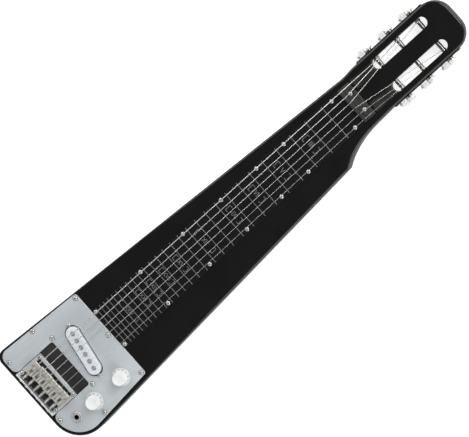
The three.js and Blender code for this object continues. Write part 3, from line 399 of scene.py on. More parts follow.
# The jack's barrel, and a dark sleeve in its bore that is painted shade: radius, z
JACK_BARREL = (
    (0, -26.3), (4.6, -26.3), (4.6, -4.3), (7.5, -4.3), (7.5, -2.3), (4.6, -2.3), (4.6, 2.9), (4.2, 3.4),
    (3.6, 3.4), (3.3, 3), (3.3, -24), (0, -24),
)
JACK_BORE_SHADE = ((3.28, -23.9), (3.28, 1.8), (2.9, 1.8), (2.9, -23.9))
# Nut and washer: low and high z, edge
JACK_HEXAGON = 12.6 * 2 / sqrt(3)
JACK_NUT_Z = (0.8, 2.5, 0.4)
JACK_NUT_BORE = 9.8
JACK_WASHER = 14.4
JACK_WASHER_Z = (0.3, 0.8, 0.2)

# Tuners: forms turned about an axis have radius and place along it
TUNER_Z = 27
ROLLER_RADIUS = 3.1
ROLLER = ((2.7, 6.4), (3.1, 6.8), (3.1, 12), (2.75, 12.3), (2.75, 13.1), (3.1, 13.4), (3.1, 40.1))
HUB = ((4.4, 42.4), (4.4, 42.8), (4, 43), (0, 43))
GEAR_RADII = (5.1, 6.4)
GEAR_Y = (39.6, 42.5, 0.25)
GEAR_TEETH = 14
GEAR_FLANK = 1.9
GEAR_FOOT = 0.25
WORM = (
    (1.5, 10.9), (1.7, 11.2), (1.7, 18.9), (2.8, 18.9), (2.8, 20.3), (1.7, 20.3), (1.7, 22.3), (2, 22.3),
    (2, 31.7), (1.7, 31.7), (1.7, 33.8), (1.4, 34.1),
)
# The thread: start and end, radius, turns, steps in a turn; then its wire's radius and sides
WORM_THREAD = (23.1, 30.9, 2.1, 3.25, 24)
WORM_THREAD_WIRE = (0.65, 8)
# Buttons are measured from their top
BUTTON_RADIUS = 11.7
BUTTON_FLATNESS = 10 / 23.4
BUTTON_HEIGHT = 15
BUTTON_RINGS = 22
BUTTON_STEPS = 56
BUTTON_POWERS = (0.8, 0.55)
BUTTON_FOOT_SHARE = 0.96
BUTTON_NECK_START = 0.72
BUTTON_NECK_WIDTH = 0.34
BUTTON_NECK_POWER = 1.5
BUTTON_NECK = ((3.7, -5), (3.7, -0.4), (3.3, 0), (1.8, 0))
BUTTON_BUSH = ((3.1, -0.3), (3.1, 0.5), (1.9, 0.5), (1.9, -0.3))
BUTTON_LAST_TURN = radians(-10)
TUNER_SCREW_XS = (575.4, 615.8, 650.8, 679.6)
TUNER_SCREW = (5, 1.2)
TUNER_SHEET = 1.2
TUNER_EDGE = 0.3
BRACKET_RISE = 1.3

# Finishes by name, filled by make_materials
PAINT = {}


def node_box(node):
    """Lowest and highest corner of a CAD node, in millimetres."""
    low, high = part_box(node)
    return low / MM, high / MM


def node_middle(node):
    low, high = node_box(node)
    return (low + high) / 2


def link(thing):
    bpy.context.scene.collection.objects.link(thing)


def at(x, y=0, z=0):
    return Matrix.Translation((x, y, z))


def turned(angle, axis):
    return Matrix.Rotation(angle, 4, axis)


def along_x(x, y, z):
    """Lays a turned form with its axis along the neck."""
    return at(x, y, z) @ turned(QUARTER, "Y")


def across_y(side, x):
    """Puts a turned form with its axis out of the headstock's side."""
    return at(x, 0, TUNER_Z) @ turned(-side * QUARTER, "X")


def mix(low, high, share):
    return low + (high - low) * share


def string_y(n, pitch=BRIDGE_PITCH):
    return (sum(STRINGS) / len(STRINGS) - n) * pitch


def roller_place(n):
    """The side of the headstock that a string's roller points to, and the roller's place."""
    middle = node_middle(f"string_roller_{n}")
    return copysign(1, middle.y), middle.x


def hole_spot(n):
    """Where a string passes through the body."""
    return -STRING_HOLE_BACK, string_y(n)


# Outlines, as lists of points in a plane
def arc_points(centre, radius, start, end, steps):
    angles = [mix(start, end, step / steps) for step in range(steps + 1)]
    return [(centre[0] + radius * cos(a), centre[1] + radius * sin(a)) for a in angles]


def corner_points(before, corner, after, radius, steps):
    """The arc that rounds one corner of an outline."""
    point = Vector(corner[:2])
    back = (Vector(before[:2]) - point).normalized()
    ahead = (Vector(after[:2]) - point).normalized()
    half = back.angle(ahead) / 2
    centre = point + (back + ahead).normalized() * (radius / sin(half))
    reach = radius / tan(half)
    start_arm = point + back * reach - centre
    end_arm = point + ahead * reach - centre
    start = atan2(start_arm.y, start_arm.x)
    turn = start_arm.angle_signed(end_arm)
    return arc_points(centre, radius, start, start - turn, steps)


def rounded(corners, steps):
    """A closed outline from (x, y, radius) corners."""
    points = []
    for i, corner in enumerate(corners):
        after = corners[(i + 1) % len(corners)]
        points += corner_points(corners[i - 1], corner, after, corner[2], steps)
    return points


def box_outline(low_x, high_x, low_y, high_y):
    return [(low_x, low_y), (high_x, low_y), (high_x, high_y), (low_x, high_y)]


def rectangle(low_x, high_x, low_y, high_y, radius):
    return rounded([(*corner, radius) for corner in box_outline(low_x, high_x, low_y, high_y)], EDGE_STEPS)


def circle(x, y, diameter, steps=ROUND_STEPS):
    return arc_points((x, y), diameter / 2, 0, TURN, steps)[:-1]


def stadium(length, width, steps):
    """A bar with half-round ends, its length along y."""
    reach = (length - width) / 2
    upper = arc_points((0, reach), width / 2, 0, pi, steps)
    lower = arc_points((0, -reach), width / 2, pi, TURN, steps)
    return upper + lower


def bezier_points(start, first, second, end, steps):
    points = []
    for step in range(1, steps):
        t = step / steps
        weights = ((1 - t) ** 3, 3 * t * (1 - t) ** 2, 3 * t * t * (1 - t), t ** 3)
        points.append(tuple(
            sum(w * p[axis] for w, p in zip(weights, (start, first, second, end))) for axis in (0, 1)
        ))
    return points


def within(points, node):
    """Keeps an outline inside the box of its CAD node."""
    low, high = node_box(node)
    return [(min(max(x, low.x), high.x), min(max(y, low.y), high.y)) for x, y in points]


def moved_outline(points, matrix):
    return [tuple((matrix @ Vector((x, y, 0)))[:2]) for x, y in points]


# Solids, as (points, faces) pairs
def grid_solid(rings):
    """Joins rings of equally many points into a closed tube."""
    count = len(rings[0])
    points = [point for ring in rings for point in ring]
    faces = []
    for ring in range(len(rings) - 1):
        for k in range(count):
            a, b = ring * count + k, ring * count + (k + 1) % count
            faces.append((a, b, b + count, a + count))
    last = (len(rings) - 1) * count
    faces.append(tuple(range(count - 1, -1, -1)))
    faces.append(tuple(range(last, last + count)))
    return points, faces


def lathe(profile, steps, ribs=0, rib_depth=0, rib_z=(0, 0)):
    """A profile of (radius, z) pairs turned about z, with ribs between two heights where asked."""
    rings = []
    for radius, z in profile:
        ring = []
        for step in range(steps):
            angle = TURN * step / steps
            wave = rib_depth * (1 - cos(ribs * angle)) / 2 if rib_z[0] <= z <= rib_z[1] else 0
            size = max(radius - wave, LEAST_RADIUS)
            ring.append((size * cos(angle), size * sin(angle), z))
        rings.append(ring)
    return grid_solid(rings)


def rod(radius, low, high, steps):
    return lathe([(radius, low), (radius, high)], steps)


def tube(path, radius, sides=STRING_SIDES):
    """A round tube along a path, its rings carried along without twist."""
    points = [Vector(p) for p in path]
    across = None
    rings = []
    for i, point in enumerate(points):
        along = (points[min(i + 1, len(points) - 1)] - points[max(i - 1, 0)]).normalized()
        guide = across or along.orthogonal()
        across = (guide - along * guide.dot(along)).normalized()
        up = along.cross(across)
        rings.append([
            point + (across * cos(a) + up * sin(a)) * radius
            for a in (TURN * k / sides for k in range(sides))
        ])
    return grid_solid(rings)


def helix(start, end, radius, turns, steps):
    """Points of a coil as (place along its axis, two places across it)."""
    count = round(turns * steps)
    angles = [TURN * step / steps for step in range(count + 1)]
    return [
        (mix(start, end, k / count), radius * cos(a), radius * sin(a)) for k, a in enumerate(angles)
    ]


def curve_solid(curve, rise):
    """The form of a filled curve, which then goes."""
    holder = bpy.data.objects.new(curve.name, curve)
    mesh = bpy.data.meshes.new_from_object(holder)
    points = [(v.co.x, v.co.y, v.co.z + rise) for v in mesh.vertices]
    faces = [tuple(p.vertices) for p in mesh.polygons]
    bpy.data.objects.remove(holder)
    bpy.data.curves.remove(curve)
    bpy.data.meshes.remove(mesh)
    return points, faces


def sheet(outlines, low, high, edge=0, edge_steps=2):
    """A flat sheet between two heights, from an outline and its holes, with rounded edges."""
    curve = bpy.data.curves.new("sheet", "CURVE")
    curve.dimensions = "2D"
    curve.fill_mode = "BOTH"
    curve.extrude = (high - low) / 2 - edge
    curve.bevel_depth = edge
    curve.bevel_resolution = edge_steps
    curve.offset = -edge
    for i, outline in enumerate(outlines):
        turn = sum(a[0] * b[1] - b[0] * a[1] for a, b in zip(outline, outline[1:] + outline[:1]))
        ordered = outline if (turn < 0) == (i == 0) else outline[::-1]
        spline = curve.splines.new("POLY")
        spline.points.add(len(ordered) - 1)
        for point, (x, y) in zip(spline.points, ordered):
            point.co = (x, y, 0, 1)
        spline.use_cyclic_u = True
    return curve_solid(curve, (low + high) / 2)


def side_sheet(outline, low_y, high_y, edge=0):
    """A side view drawn in x and z, as wide as the given stretch of y."""
    points, faces = sheet([outline], -high_y, -low_y, edge)
    return [(x, -z, y) for x, y, z in points], faces


def disc(spot, diameter, low, high, steps):
    return sheet([circle(*spot, diameter, steps)], low, high)


def words(text, size, height):
    """Plain lettering, centred, in the plane z = 0."""
    curve = bpy.data.curves.new("words", "FONT")
    curve.body = text
    curve.size = size
    curve.extrude = height / 2
    curve.align_x = "CENTER"
    curve.align_y = "CENTER"
    return curve_solid(curve, 0)


def screw_head(diameter, rise, arm=CROSS_ARM, depth=CROSS_DEPTH):
    """A domed head with a cross recess, standing on z = 0."""
    half = diameter / 2
    ladder = []
    for ring in range(HEAD_RINGS, 0, -1):
        share = ring / HEAD_RINGS
        height = rise * sqrt(1 - (HEAD_DOME * share) ** 2)
        row = []
        for x, y in circle(0, 0, share * diameter):
            inside = min(abs(x), abs(y)) < arm * half and max(abs(x), abs(y)) < CROSS_REACH * half
            row.append((x, y, height - (depth * rise if inside else 0)))
        ladder.append(row)
    ladder.insert(0, [(x, y, 0) for x, y, z in ladder[0]])
    return grid_solid(ladder)


# Pieces, made of (solid, matrix, material number) parts
def smooth_but_sharp(form, sharp):
    for face in form.faces:
        face.smooth = True
    for edge in form.edges:
        edge.smooth = len(edge.link_faces) == 2 and edge.calc_face_angle() < sharp


def bevelled_copy(node, width):
    """A CAD node's own form with its edges broken, as (points, faces)."""
    form = bmesh.new()
    form.from_mesh(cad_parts[node].data)
    bmesh.ops.scale(form, vec=(1 / MM,) * 3, verts=form.verts)
    bmesh.ops.remove_doubles(form, verts=form.verts, dist=NODE_MERGE)
    bmesh.ops.dissolve_limit(form, angle_limit=NODE_FLAT_ANGLE, verts=form.verts, edges=form.edges)
    edges = [e for e in form.edges if len(e.link_faces) == 2 and e.calc_face_angle() > NODE_SHARP]
    bmesh.ops.bevel(
        form, geom=edges, offset=width, segments=2, profile=1 / 2, affect="EDGES", clamp_overlap=True,
    )
    form.verts.index_update()
    points = [tuple(v.co) for v in form.verts]
    faces = [tuple(v.index for v in f.verts) for f in form.faces]
    form.free()
    return points, faces


def as_object(name, parts):
    """One mesh object from its parts, smooth except at sharp edges."""
    form = bmesh.new()
    for (points, faces), matrix, number in parts:
        corners = [form.verts.new(matrix @ Vector(p)) for p in points]
        for face in faces:
            form.faces.new([corners[k] for k in face]).material_index = number
    bmesh.ops.remove_doubles(form, verts=form.verts, dist=PIECE_MERGE)
    bmesh.ops.recalc_face_normals(form, faces=form.faces)
    smooth_but_sharp(form, SHARP)
    mesh = bpy.data.meshes.new(name)
    form.to_mesh(mesh)
    form.free()
    made = bpy.data.objects.new(name, mesh)
    link(made)
    return made


def cut(base, parts):
    """Cuts an object with the solids of the given parts."""
    tool = as_object("cutter", parts)
    change = base.modifiers.new("cut", "BOOLEAN")
    change.solver = "EXACT"
    change.operation = "DIFFERENCE"
    change.object = tool
    graph = bpy.context.evaluated_depsgraph_get()
    mesh = bpy.data.meshes.new_from_object(base.evaluated_get(graph))
    base.modifiers.clear()
    base.data = mesh
    bpy.data.objects.remove(tool)


def mark_edges(piece, sharp=SHARP):
    form = bmesh.new()
    form.from_mesh(piece.data)
    smooth_but_sharp(form, sharp)
    form.to_mesh(piece.data)
    form.free()


def paint_faces(piece, number, test):
    """Gives the faces that pass a test another of the piece's materials."""
    for face in piece.data.polygons:
        if test(face):
            face.material_index = number


def place(piece, finishes, replaced=(), body="base"):
    """Turns a piece into metres and gives it its finishes and its body."""
    piece.data.transform(Matrix.Scale(MM, 4))
    numbers = [face.material_index for face in piece.data.polygons]
    piece.data.materials.clear()
    for name in finishes:
        piece.data.materials.append(PAINT[name])
    for face, number in zip(piece.data.polygons, numbers):
        face.material_index = number
    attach(piece, body)
    if replaced:
        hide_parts(*replaced)


def make(name, parts, finishes, replaced=(), body="base"):
    place(as_object(name, parts), finishes, replaced, body)


# Materials
def new_material(name):
    material = bpy.data.materials.new(name)
    material.use_nodes = True
    return material, material.node_tree, material.node_tree.nodes["Principled BSDF"]


def fill(tree, node, inputs):
    """Links the outputs of other nodes to a node's inputs, and sets plain values on them."""
    for socket, value in inputs.items():
        if isinstance(value, bpy.types.NodeSocket):
            tree.links.new(value, node.inputs[socket])
        else:
            node.inputs[socket].default_value = value


def add(tree, kind, inputs, output=0, **settings):
    """Adds a shader node and gives one of its outputs."""
    node = tree.nodes.new("ShaderNode" + kind)
    for name, value in settings.items():
        setattr(node, name, value)
    fill(tree, node, inputs)
    return node.outputs[output]


def surface_noise(tree, scale, stretch=EVEN, detail=GRAIN_DETAIL):
    """Noise over the surface, in metres of the model; stretch squeezes it along an axis."""
    point = add(tree, "TexCoord", {}, "Object")
    vector = add(tree, "Mapping", {"Vector": point, "Scale": stretch}, "Vector")
    noise = add(tree, "TexNoise", {"Vector": vector, "Scale": scale, "Detail": detail}, "Fac")
    return noise, vector


def blend_colours(tree, factor, low, high, from_low=BLEND_FROM, from_high=BLEND_TO):
    ramp = tree.nodes.new("ShaderNodeValToRGB")
    for element, colour, spot in zip(ramp.color_ramp.elements, (low, high), (from_low, from_high)):
        element.position = spot
        element.color = (*colour, 1)
    fill(tree, ramp, {"Fac": factor})
    return ramp.outputs["Color"]


def value_range(tree, factor, low, high):
    return add(tree, "MapRange", {"Value": factor, "To Min": low, "To Max": high}, "Result")


def add_bump(tree, shader, height, distance):
    inputs = {"Height": height, "Distance": distance, "Strength": BUMP_STRENGTH}
    fill(tree, shader, {"Normal": add(tree, "Bump", inputs, "Normal")})


def finish(name, low, high, scale, roughness, metallic=0, bump=0, specular=PLAIN_SPECULAR, stretch=EVEN):
    """A finish whose colour and roughness wander a little over the surface."""
    material, tree, shader = new_material(name)
    noise = surface_noise(tree, scale, stretch)[0]
    fill(tree, shader, {
        "Base Color": blend_colours(tree, noise, low, high),
        "Roughness": value_range(tree, noise, *roughness),
        "Metallic": metallic, "Specular IOR Level": specular,
    })
    if bump:
        add_bump(tree, shader, noise, bump)
    return material


def wound(name, low, high, period, metallic, roughness, axis):
    """Wire lying turn beside turn: bands across an axis."""
    material, tree, shader = new_material(name)
    inputs = {
        "Vector": add(tree, "TexCoord", {}, "Object"),
        "Scale": TURN / (WAVE_GROWTH * period), "Distortion": WOUND_WAVER,
    }
    bands = add(tree, "TexWave", inputs, "Fac", bands_direction=axis)
    fill(tree, shader, {
        "Base Color": blend_colours(tree, bands, low, high),
        "Roughness": value_range(tree, bands, *roughness), "Metallic": metallic,
    })
    add_bump(tree, shader, bands, period * WOUND_BUMP_SHARE)
    return material


def join_values(tree, operation, first, second, **settings):
    return add(tree, "Math", {0: first, 1: second}, "Value", operation=operation, **settings)


def band_mask(tree, value, edges):
    """One inside a band of values, zero outside, with soft edges."""
    steps = []
    for edge, turn in zip(edges, (1, -1)):
        soft = turn * BRIDGE_SHADE_SOFT
        inputs = {"Value": value, "From Min": edge - soft, "From Max": edge + soft}
        steps.append(add(tree, "MapRange", inputs, "Result", interpolation_type="SMOOTHSTEP"))
    return join_values(tree, "MULTIPLY", *steps)


def bridge_finish_with_painted_shade(name):
    """Plated sheet with painted shade: a dark patch where the saddles and springs shade the plate."""
    material, tree, shader = new_material(name)
    noise, vector = surface_noise(tree, BRIDGE_GRAIN)
    along, across = [
        band_mask(tree, add(tree, "SeparateXYZ", {"Vector": vector}, axis), edges)
        for axis, edges in (("X", BRIDGE_SHADE_X), ("Y", BRIDGE_SHADE_Y))
    ]
    # The dark colour inside the patch is painted shade
    colour = add(tree, "Mix", {
        "Factor": join_values(tree, "MULTIPLY", along, across),
        "A": blend_colours(tree, noise, *BRIDGE_BRIGHT), "B": blend_colours(tree, noise, *BRIDGE_SHADE_COLOURS),
    }, "Result", data_type="RGBA")
    roughness = value_range(tree, noise, *BRIDGE_ROUGHNESS)
    fill(tree, shader, {"Base Color": colour, "Roughness": roughness, "Metallic": BRIDGE_METALLIC})
    return material


def pearl_finish(name):
    """Pearl plastic: clouded flakes under a clear surface."""
    material, tree, shader = new_material(name)
    noise, vector = surface_noise(tree, PEARL_GRAIN, detail=PEARL_DETAIL)
    flakes = add(tree, "TexVoronoi", {"Vector": vector, "Scale": PEARL_FLAKES}, "Distance")
    joined = add(tree, "Math", {0: flakes, 1: PEARL_FLAKE_SHARE, 2: noise}, operation="MULTIPLY_ADD")
    colour = blend_colours(tree, joined, *PEARL_COLOURS, *PEARL_BLEND)
    fill(tree, shader, {"Base Color": colour, **PEARL_GLOSS})
    add_bump(tree, shader, noise, PEARL_BUMP)
    return material


def make_materials():
    PAINT.update({name: finish(name, *row) for name, row in FINISHES.items()})
    PAINT.update({name: wound(name, *row) for name, row in WOUND.items()})
    PAINT.update({"bridge": bridge_finish_with_painted_shade("bridge"), "pearl": pearl_finish("pearl")})


# Studio
def make_camera():
    place_at = Vector(CAMERA_PLACE)
    back = (place_at - Vector(CAMERA_AIM)).normalized()
    hint = Vector((cos(CAMERA_UP_TURN), sin(CAMERA_UP_TURN), 0))
    right = hint.cross(back).normalized()
    turn = Matrix((right, back.cross(right), back)).transposed().to_4x4()
    data = bpy.data.cameras.new("camera")
    data.lens = CAMERA_LENS_MM
    data.clip_start = CAMERA_NEAR * MM
    data.clip_end = CAMERA_FAR * MM
    camera = bpy.data.objects.new("camera", data)
    camera.matrix_world = Matrix.Translation(place_at * MM) @ turn
    link(camera)
    bpy.context.scene.camera = camera


def make_lamps():
    middle = Vector(CAMERA_AIM)
    for name, spot, size, power in LAMPS:
        data = bpy.data.lights.new(name, "AREA")
        data.shape = "SQUARE"
        data.size = size * MM
        data.energy = power
        lamp = bpy.data.objects.new(name, data)
        turn = (Vector(spot) - middle).to_track_quat("Z", "Y").to_matrix().to_4x4()
        lamp.matrix_world = Matrix.Translation(Vector(spot) * MM) @ turn
        link(lamp)


def make_world():
    """A bright horizon all round that darkens overhead."""
    world = bpy.data.worlds.new("studio")
    world.use_nodes = True
    tree = world.node_tree
    direction = add(tree, "TexCoord", {}, "Generated")
    height = add(tree, "SeparateXYZ", {"Vector": direction}, "Z")
    sky = blend_colours(tree, height, HORIZON_COLOUR, ZENITH_COLOUR, HORIZON_SHARE, ZENITH_SHARE)
    fill(tree, tree.nodes["Background"], {"Color": sky})
    bpy.context.scene.world = world


def floor_material():
    """Pale paper that the camera and reflections see as white, with the object's shadow on it."""
    material, tree, shader = new_material("floor_paper")
    paper = surface_noise(tree, FLOOR_GRAIN)[0]
    tint = blend_colours(tree, paper, FLOOR_COLOUR, [FLOOR_SHADE * c for c in FLOOR_COLOUR])
    fill(tree, shader, {"Base Color": tint, "Roughness": 1, "Specular IOR Level": 0})
    ray = tree.nodes.new("ShaderNodeLightPath").outputs
    seen = join_values(tree, "ADD", ray["Is Camera Ray"], ray["Is Glossy Ray"], use_clamp=True)
    seen = join_values(tree, "ADD", seen, ray["Is Transmission Ray"], use_clamp=True)
    lift = join_values(tree, "MULTIPLY", seen, FLOOR_LIFT)
    glow = add(tree, "Emission", {"Strength": lift})
    above = add(tree, "AddShader", {0: shader.outputs["BSDF"], 1: glow})
    below = add(tree, "BsdfTransparent", {})
    behind = add(tree, "NewGeometry", {}, "Backfacing")
    surface = add(tree, "MixShader", {0: behind, 1: above, 2: below})
    fill(tree, tree.nodes["Material Output"], {"Surface": surface})
    return material


def make_floor():
    corners = [(x, y, FLOOR_Z) for x, y in box_outline(-FLOOR_HALF, FLOOR_HALF, -FLOOR_HALF, FLOOR_HALF)]
    mesh = bpy.data.meshes.new("floor")
    mesh.from_pydata([Vector(c) * MM for c in corners], [], [tuple(range(len(corners)))])
    mesh.materials.append(floor_material())
    floor = bpy.data.objects.new("floor", mesh)
    link(floor)


# Body
def bass_side(x):
    return x, BASS_AT_SADDLES + BASS_SLOPE * x


def body_outline():
    """From the rear treble corner, by way of the head, to the rear bass corner."""
    rear_bass, waist_end, waist = map(bass_side, (REAR_X, *WAIST_XS))
    rear_treble = (REAR_X, mix(TREBLE_AT_SADDLES, SHOULDER[1], REAR_X / SHOULDER[0]))
    shoulder_arc = corner_points(rear_treble, SHOULDER, NECK_CURVE[0], SHOULDER_RADIUS, EDGE_STEPS)
    treble_start, treble_end, bass_end, bass_start = HEAD_CORNERS
    return [
        *corner_points(rear_bass, rear_treble, SHOULDER, REAR_TREBLE_RADIUS, RIM_STEPS), *shoulder_arc,
        *bezier_points(shoulder_arc[-1], *NECK_CURVE, OVAL_STEPS), NECK_CURVE[-1], treble_start,
        *corner_points(treble_start, treble_end, bass_end, HEAD_RADIUS, OVAL_STEPS),
        *corner_points(treble_end, bass_end, bass_start, HEAD_RADIUS, OVAL_STEPS), bass_start,
        *bezier_points(bass_start, WAIST_LEAD, waist_end, waist, WAIST_STEPS), waist,
        *corner_points(waist, rear_bass, rear_treble, REAR_BASS_RADIUS, SMALL_STEPS),
    ]


def heel_lift(x):
    start, end = HEEL_XS
    return HEAD_BACK_Z * min(max((x - start) / (end - start), 0), 1) ** 2


def raise_head(body):
    """Lifts the back of the head, so that the body ends in a sloping heel."""
    form = bmesh.new()
    form.from_mesh(body.data)
    for step in range(HEEL_STEPS + 1):
        x = mix(*HEEL_XS, step / HEEL_STEPS)
        whole = [*form.verts, *form.edges, *form.faces]
        bmesh.ops.bisect_plane(form, geom=whole, plane_co=(x, 0, 0), plane_no=(1, 0, 0))
    for corner in form.verts:
        if corner.co.z < FACE_Z / 2:
            corner.co.z += heel_lift(corner.co.x)
    form.to_mesh(body.data)
    form.free()


def pickup_matrix():
    return at(PICKUP_X) @ turned(-PICKUP_TILT, "Z")


def slot_cutters():
    top = FACE_Z + CUT_OVERRUN
    slot = sheet([stadium(*SLOT_SIZE, BORE_STEPS)], -CUT_OVERRUN, top)
    x, y = SLOT_MIDDLE
    cutters = [(slot, at(x, side * y) @ turned(QUARTER, "Z"), 0) for side in SIGNS]
    return [*cutters, (sheet([rectangle(*PICKUP_ROUT)], ROUT_FLOOR_Z, top), pickup_matrix(), 0)]


def second_cutters():
    sides = [sorted(side * y for y in RAMP_YS) for side in SIGNS]
    cutters = [(side_sheet(RAMP, *ys), FLAT, 0) for ys in sides]
    cutters.append((sheet([rectangle(*CONTROL_ROUT)], ROUT_FLOOR_Z, FACE_Z + CUT_OVERRUN), FLAT, 0))
    cutters += [(disc(hole_spot(n), BALL_RECESS, *BALL_RECESS_Z, BORE_STEPS), FLAT, 0) for n in STRINGS]
    bore = rod(*ROLLER_BORE, BORE_STEPS)
    return cutters + [(bore, across_y(*roller_place(n)), 0) for n in STRINGS]


def string_bores(low, high):
    """Through holes for the strings, between two heights and a little beyond."""
    low, high = low - CUT_OVERRUN, high + CUT_OVERRUN
    return [(disc(hole_spot(n), STRING_BORE, low, high, SMALL_STEPS), FLAT, 0) for n in STRINGS]


def on_ramp(face):
    x, _, z = face.center
    return x > RAMP[0][0] and RAMP_LOW_Z < z < FACE_Z - RAMP_MARGIN and face.normal.z > RAMP_SLOPE


def make_body():
    outline = within(body_outline(), "body")
    shell = as_object("body_shell", [(sheet([outline], 0, FACE_Z, BODY_EDGE, SHEET_STEPS), FLAT, 0)])
    raise_head(shell)
    cut(shell, slot_cutters())
    cut(shell, second_cutters())
    cut(shell, string_bores(0, FACE_Z))
    mark_edges(shell, BODY_SHARP)
    # The walls get the shaded copy of the lacquer
    paint_faces(shell, 1, lambda face: abs(face.normal.z) < WALL_SLOPE)
    paint_faces(shell, 2, on_ramp)
    place(shell, ["lacquer", "side_lacquer_shaded", "ramp"], ["body"])


def make_ferrules():
    parts = []
    for n in STRINGS:
        rings = [circle(*hole_spot(n), *ring) for ring in (FERRULE_RIM, FERRULE_BORE)]
        parts.append((sheet(rings, *FERRULE_Z, FERRULE_EDGE), FLAT, 0))
    make("string_ferrules", parts, ["nickel"])


# Plates and board
def pickup_screw_spots():
    spots = [pickup_matrix() @ Vector((0, y, 0)) for y in (-PICKUP_SCREW_Y, PICKUP_SCREW_Y)]
    return [tuple(spot[:2]) for spot in spots]


def make_control_plate():
    holes = [circle(*spot, PLATE_HOLE) for spot in PLATE_SCREWS[-1]]
    holes += [circle(*spot, PICKUP_HOLE) for spot in pickup_screw_spots()]
    holes += [circle(x, CONTROL_Y, CONTROL_HOLE) for x in (*KNOB_XS.values(), JACK_X)]
    holes.append(moved_outline(stadium(*COVER_WINDOW), at(COVER_WINDOW_SHIFT) @ pickup_matrix()))
    plate = sheet([rounded(PLATE_CORNERS, BORE_STEPS), *holes], PLATE_BOTTOM_Z, PLATE_TOP_Z, PLATE_EDGE)
    make("control_sheet", [(plate, FLAT, 0)], ["plate"], ["control_plate"])


def make_window_panel():
    """The dark grey sheet that shows in the plate's window ahead of the bridge."""
    panel = sheet([rectangle(*PANEL)], *PANEL_Z, PANEL_EDGE)
    make("window_panel", [(panel, FLAT, 0)], ["panel"])


def screws_at(z, head, rise, spots):
    """Heads at the given spots, each turned its own way."""
    chance = random.Random(SEED)
    form = screw_head(head, rise)
    return [(form, at(x, y, z) @ turned(chance.uniform(0, pi), "Z"), 0) for x, y in spots]


def screw_shadow_rims(z, head, _, spots):
    """A dark rim round a screw head, painted shadow."""
    rim = head / 2 + SHADOW_RIM_WIDTH
    seat = lathe([(0, 0), (rim, 0), (rim, SHADOW_RIM_RISE), (0, SHADOW_RIM_RISE)], ROUND_STEPS)
    return [(seat, at(x, y, z), 1) for x, y in spots]


def board_half(side, x):
    share = (x - BOARD_REAR_X) / (SCALE_LENGTH - BOARD_REAR_X)
    return mix(BOARD_REAR_HALVES[side], BOARD_FRONT_HALVES[side], share)


def fret_x(number):
    return SCALE_LENGTH * 2 ** (-number / FRETS_PER_OCTAVE)


def board_screw_spots():
    xs = [BOARD_SCREW_REAR_X]
    xs += [(fret_x(space) + fret_x(space - 1)) / 2 for space in BOARD_SCREW_SPACES]
    spots = []
    for x in xs:
        spots += [(x, board_half(0, x) - BOARD_SCREW_INSET), (x, BOARD_SCREW_INSET - board_half(1, x))]
    return spots


def make_board():
    holes = [circle(*spot, BOARD_HOLE, BORE_STEPS) for spot in board_screw_spots()]
    board = sheet([rounded(BOARD_CORNERS, SHEET_STEPS), *holes], PLATE_BOTTOM_Z, BOARD_TOP_Z, BOARD_EDGE)
    make("board_sheet", [(board, FLAT, 0)], ["board"], ["fretboard"])


def make_fret_lines():
    parts = []
    for x in map(fret_x, range(1, FRETS + 1)):
        low, high = FRET_LINE_INSET - board_half(1, x), board_half(0, x) - FRET_LINE_INSET
        strip = box_outline(x - FRET_LINE_HALF, x + FRET_LINE_HALF, low, high)
        parts.append((sheet([strip], *PRINT_Z), FLAT, 0))
    make("fret_lines", parts, ["print"])


def marker_strokes(x, width, half):
    """A pair of square brackets that face each other across the board."""
    strokes = []
    for side in SIGNS:
        outer = MARKER_Y + side * half
        inner = outer - side * MARKER_STROKE
        leg = outer - side * MARKER_LEG
        strokes.append(box_outline(x - width / 2, x + width / 2, *sorted((outer, inner))))
        for end in SIGNS:
            edge = x + end * width / 2
            strokes.append(box_outline(*sorted((edge, edge - end * MARKER_STROKE)), *sorted((inner, leg))))
    return strokes


def make_markers():
    parts = []
    for number, numeral in MARKERS:
        space = fret_x(number - 1) - fret_x(number)
        x = fret_x(number) + space / 2
        width = MARKER_BASE_WIDTH + MARKER_SPACE_SHARE * space
        half = WIDE_MARKER_HALF if number in WIDE_MARKERS else MARKER_HALF
        parts += [(sheet([stroke], *PRINT_Z), FLAT, 0) for stroke in marker_strokes(x, width, half)]
        lie = at(x, MARKER_Y, BOARD_TOP_Z) @ turned(-QUARTER, "Z") @ Matrix.Diagonal((NUMERAL_TIGHT, 1, 1, 1))
        parts.append((words(numeral, width * NUMERAL_SHARE, 2 * PRINT_HEIGHT), lie, 0))
    make("fret_markers", parts, ["marker"])


def make_screws():
    kinds = (NUT_SCREWS, PLATE_SCREWS, (*PICKUP_SCREW, pickup_screw_spots()), BRIDGE_SCREWS)
    heads = [head for kind in kinds for head in screws_at(*kind)]
    # The dark rims round the plate and bridge screws are painted shadow
    heads += screw_shadow_rims(*PLATE_SCREWS) + screw_shadow_rims(*BRIDGE_SCREWS)
    make("plate_screws", heads, ["screw", "painted_shade_black"])
    make("board_screws", screws_at(*BOARD_SCREW, board_screw_spots()), ["screw"])


def make_nut():
    make("nut_rail", [(bevelled_copy("nut", NUT_EDGE), FLAT, 0)], ["nut"], ["nut"])


# Bridge
def bridge_bores():
    low, high = PLATE_BOTTOM_Z - CUT_OVERRUN, PLATE_TOP_Z + CUT_OVERRUN
    bores = [(disc(spot, BRIDGE_HOLE, low, high, BORE_STEPS), FLAT, 0) for spot in BRIDGE_SCREWS[-1]]
    start = node_box("bridge_plate")[0].x - CUT_OVERRUN
    screw_bore = rod(TUNE_BORE, 0, 3 * CUT_OVERRUN, SMALL_STEPS)
    for n, string_bore in zip(STRINGS, string_bores(PLATE_BOTTOM_Z, PLATE_TOP_Z)):
        bores += [string_bore, (screw_bore, along_x(start, string_y(n), TUNE_SCREW_Z), 0)]
    return bores


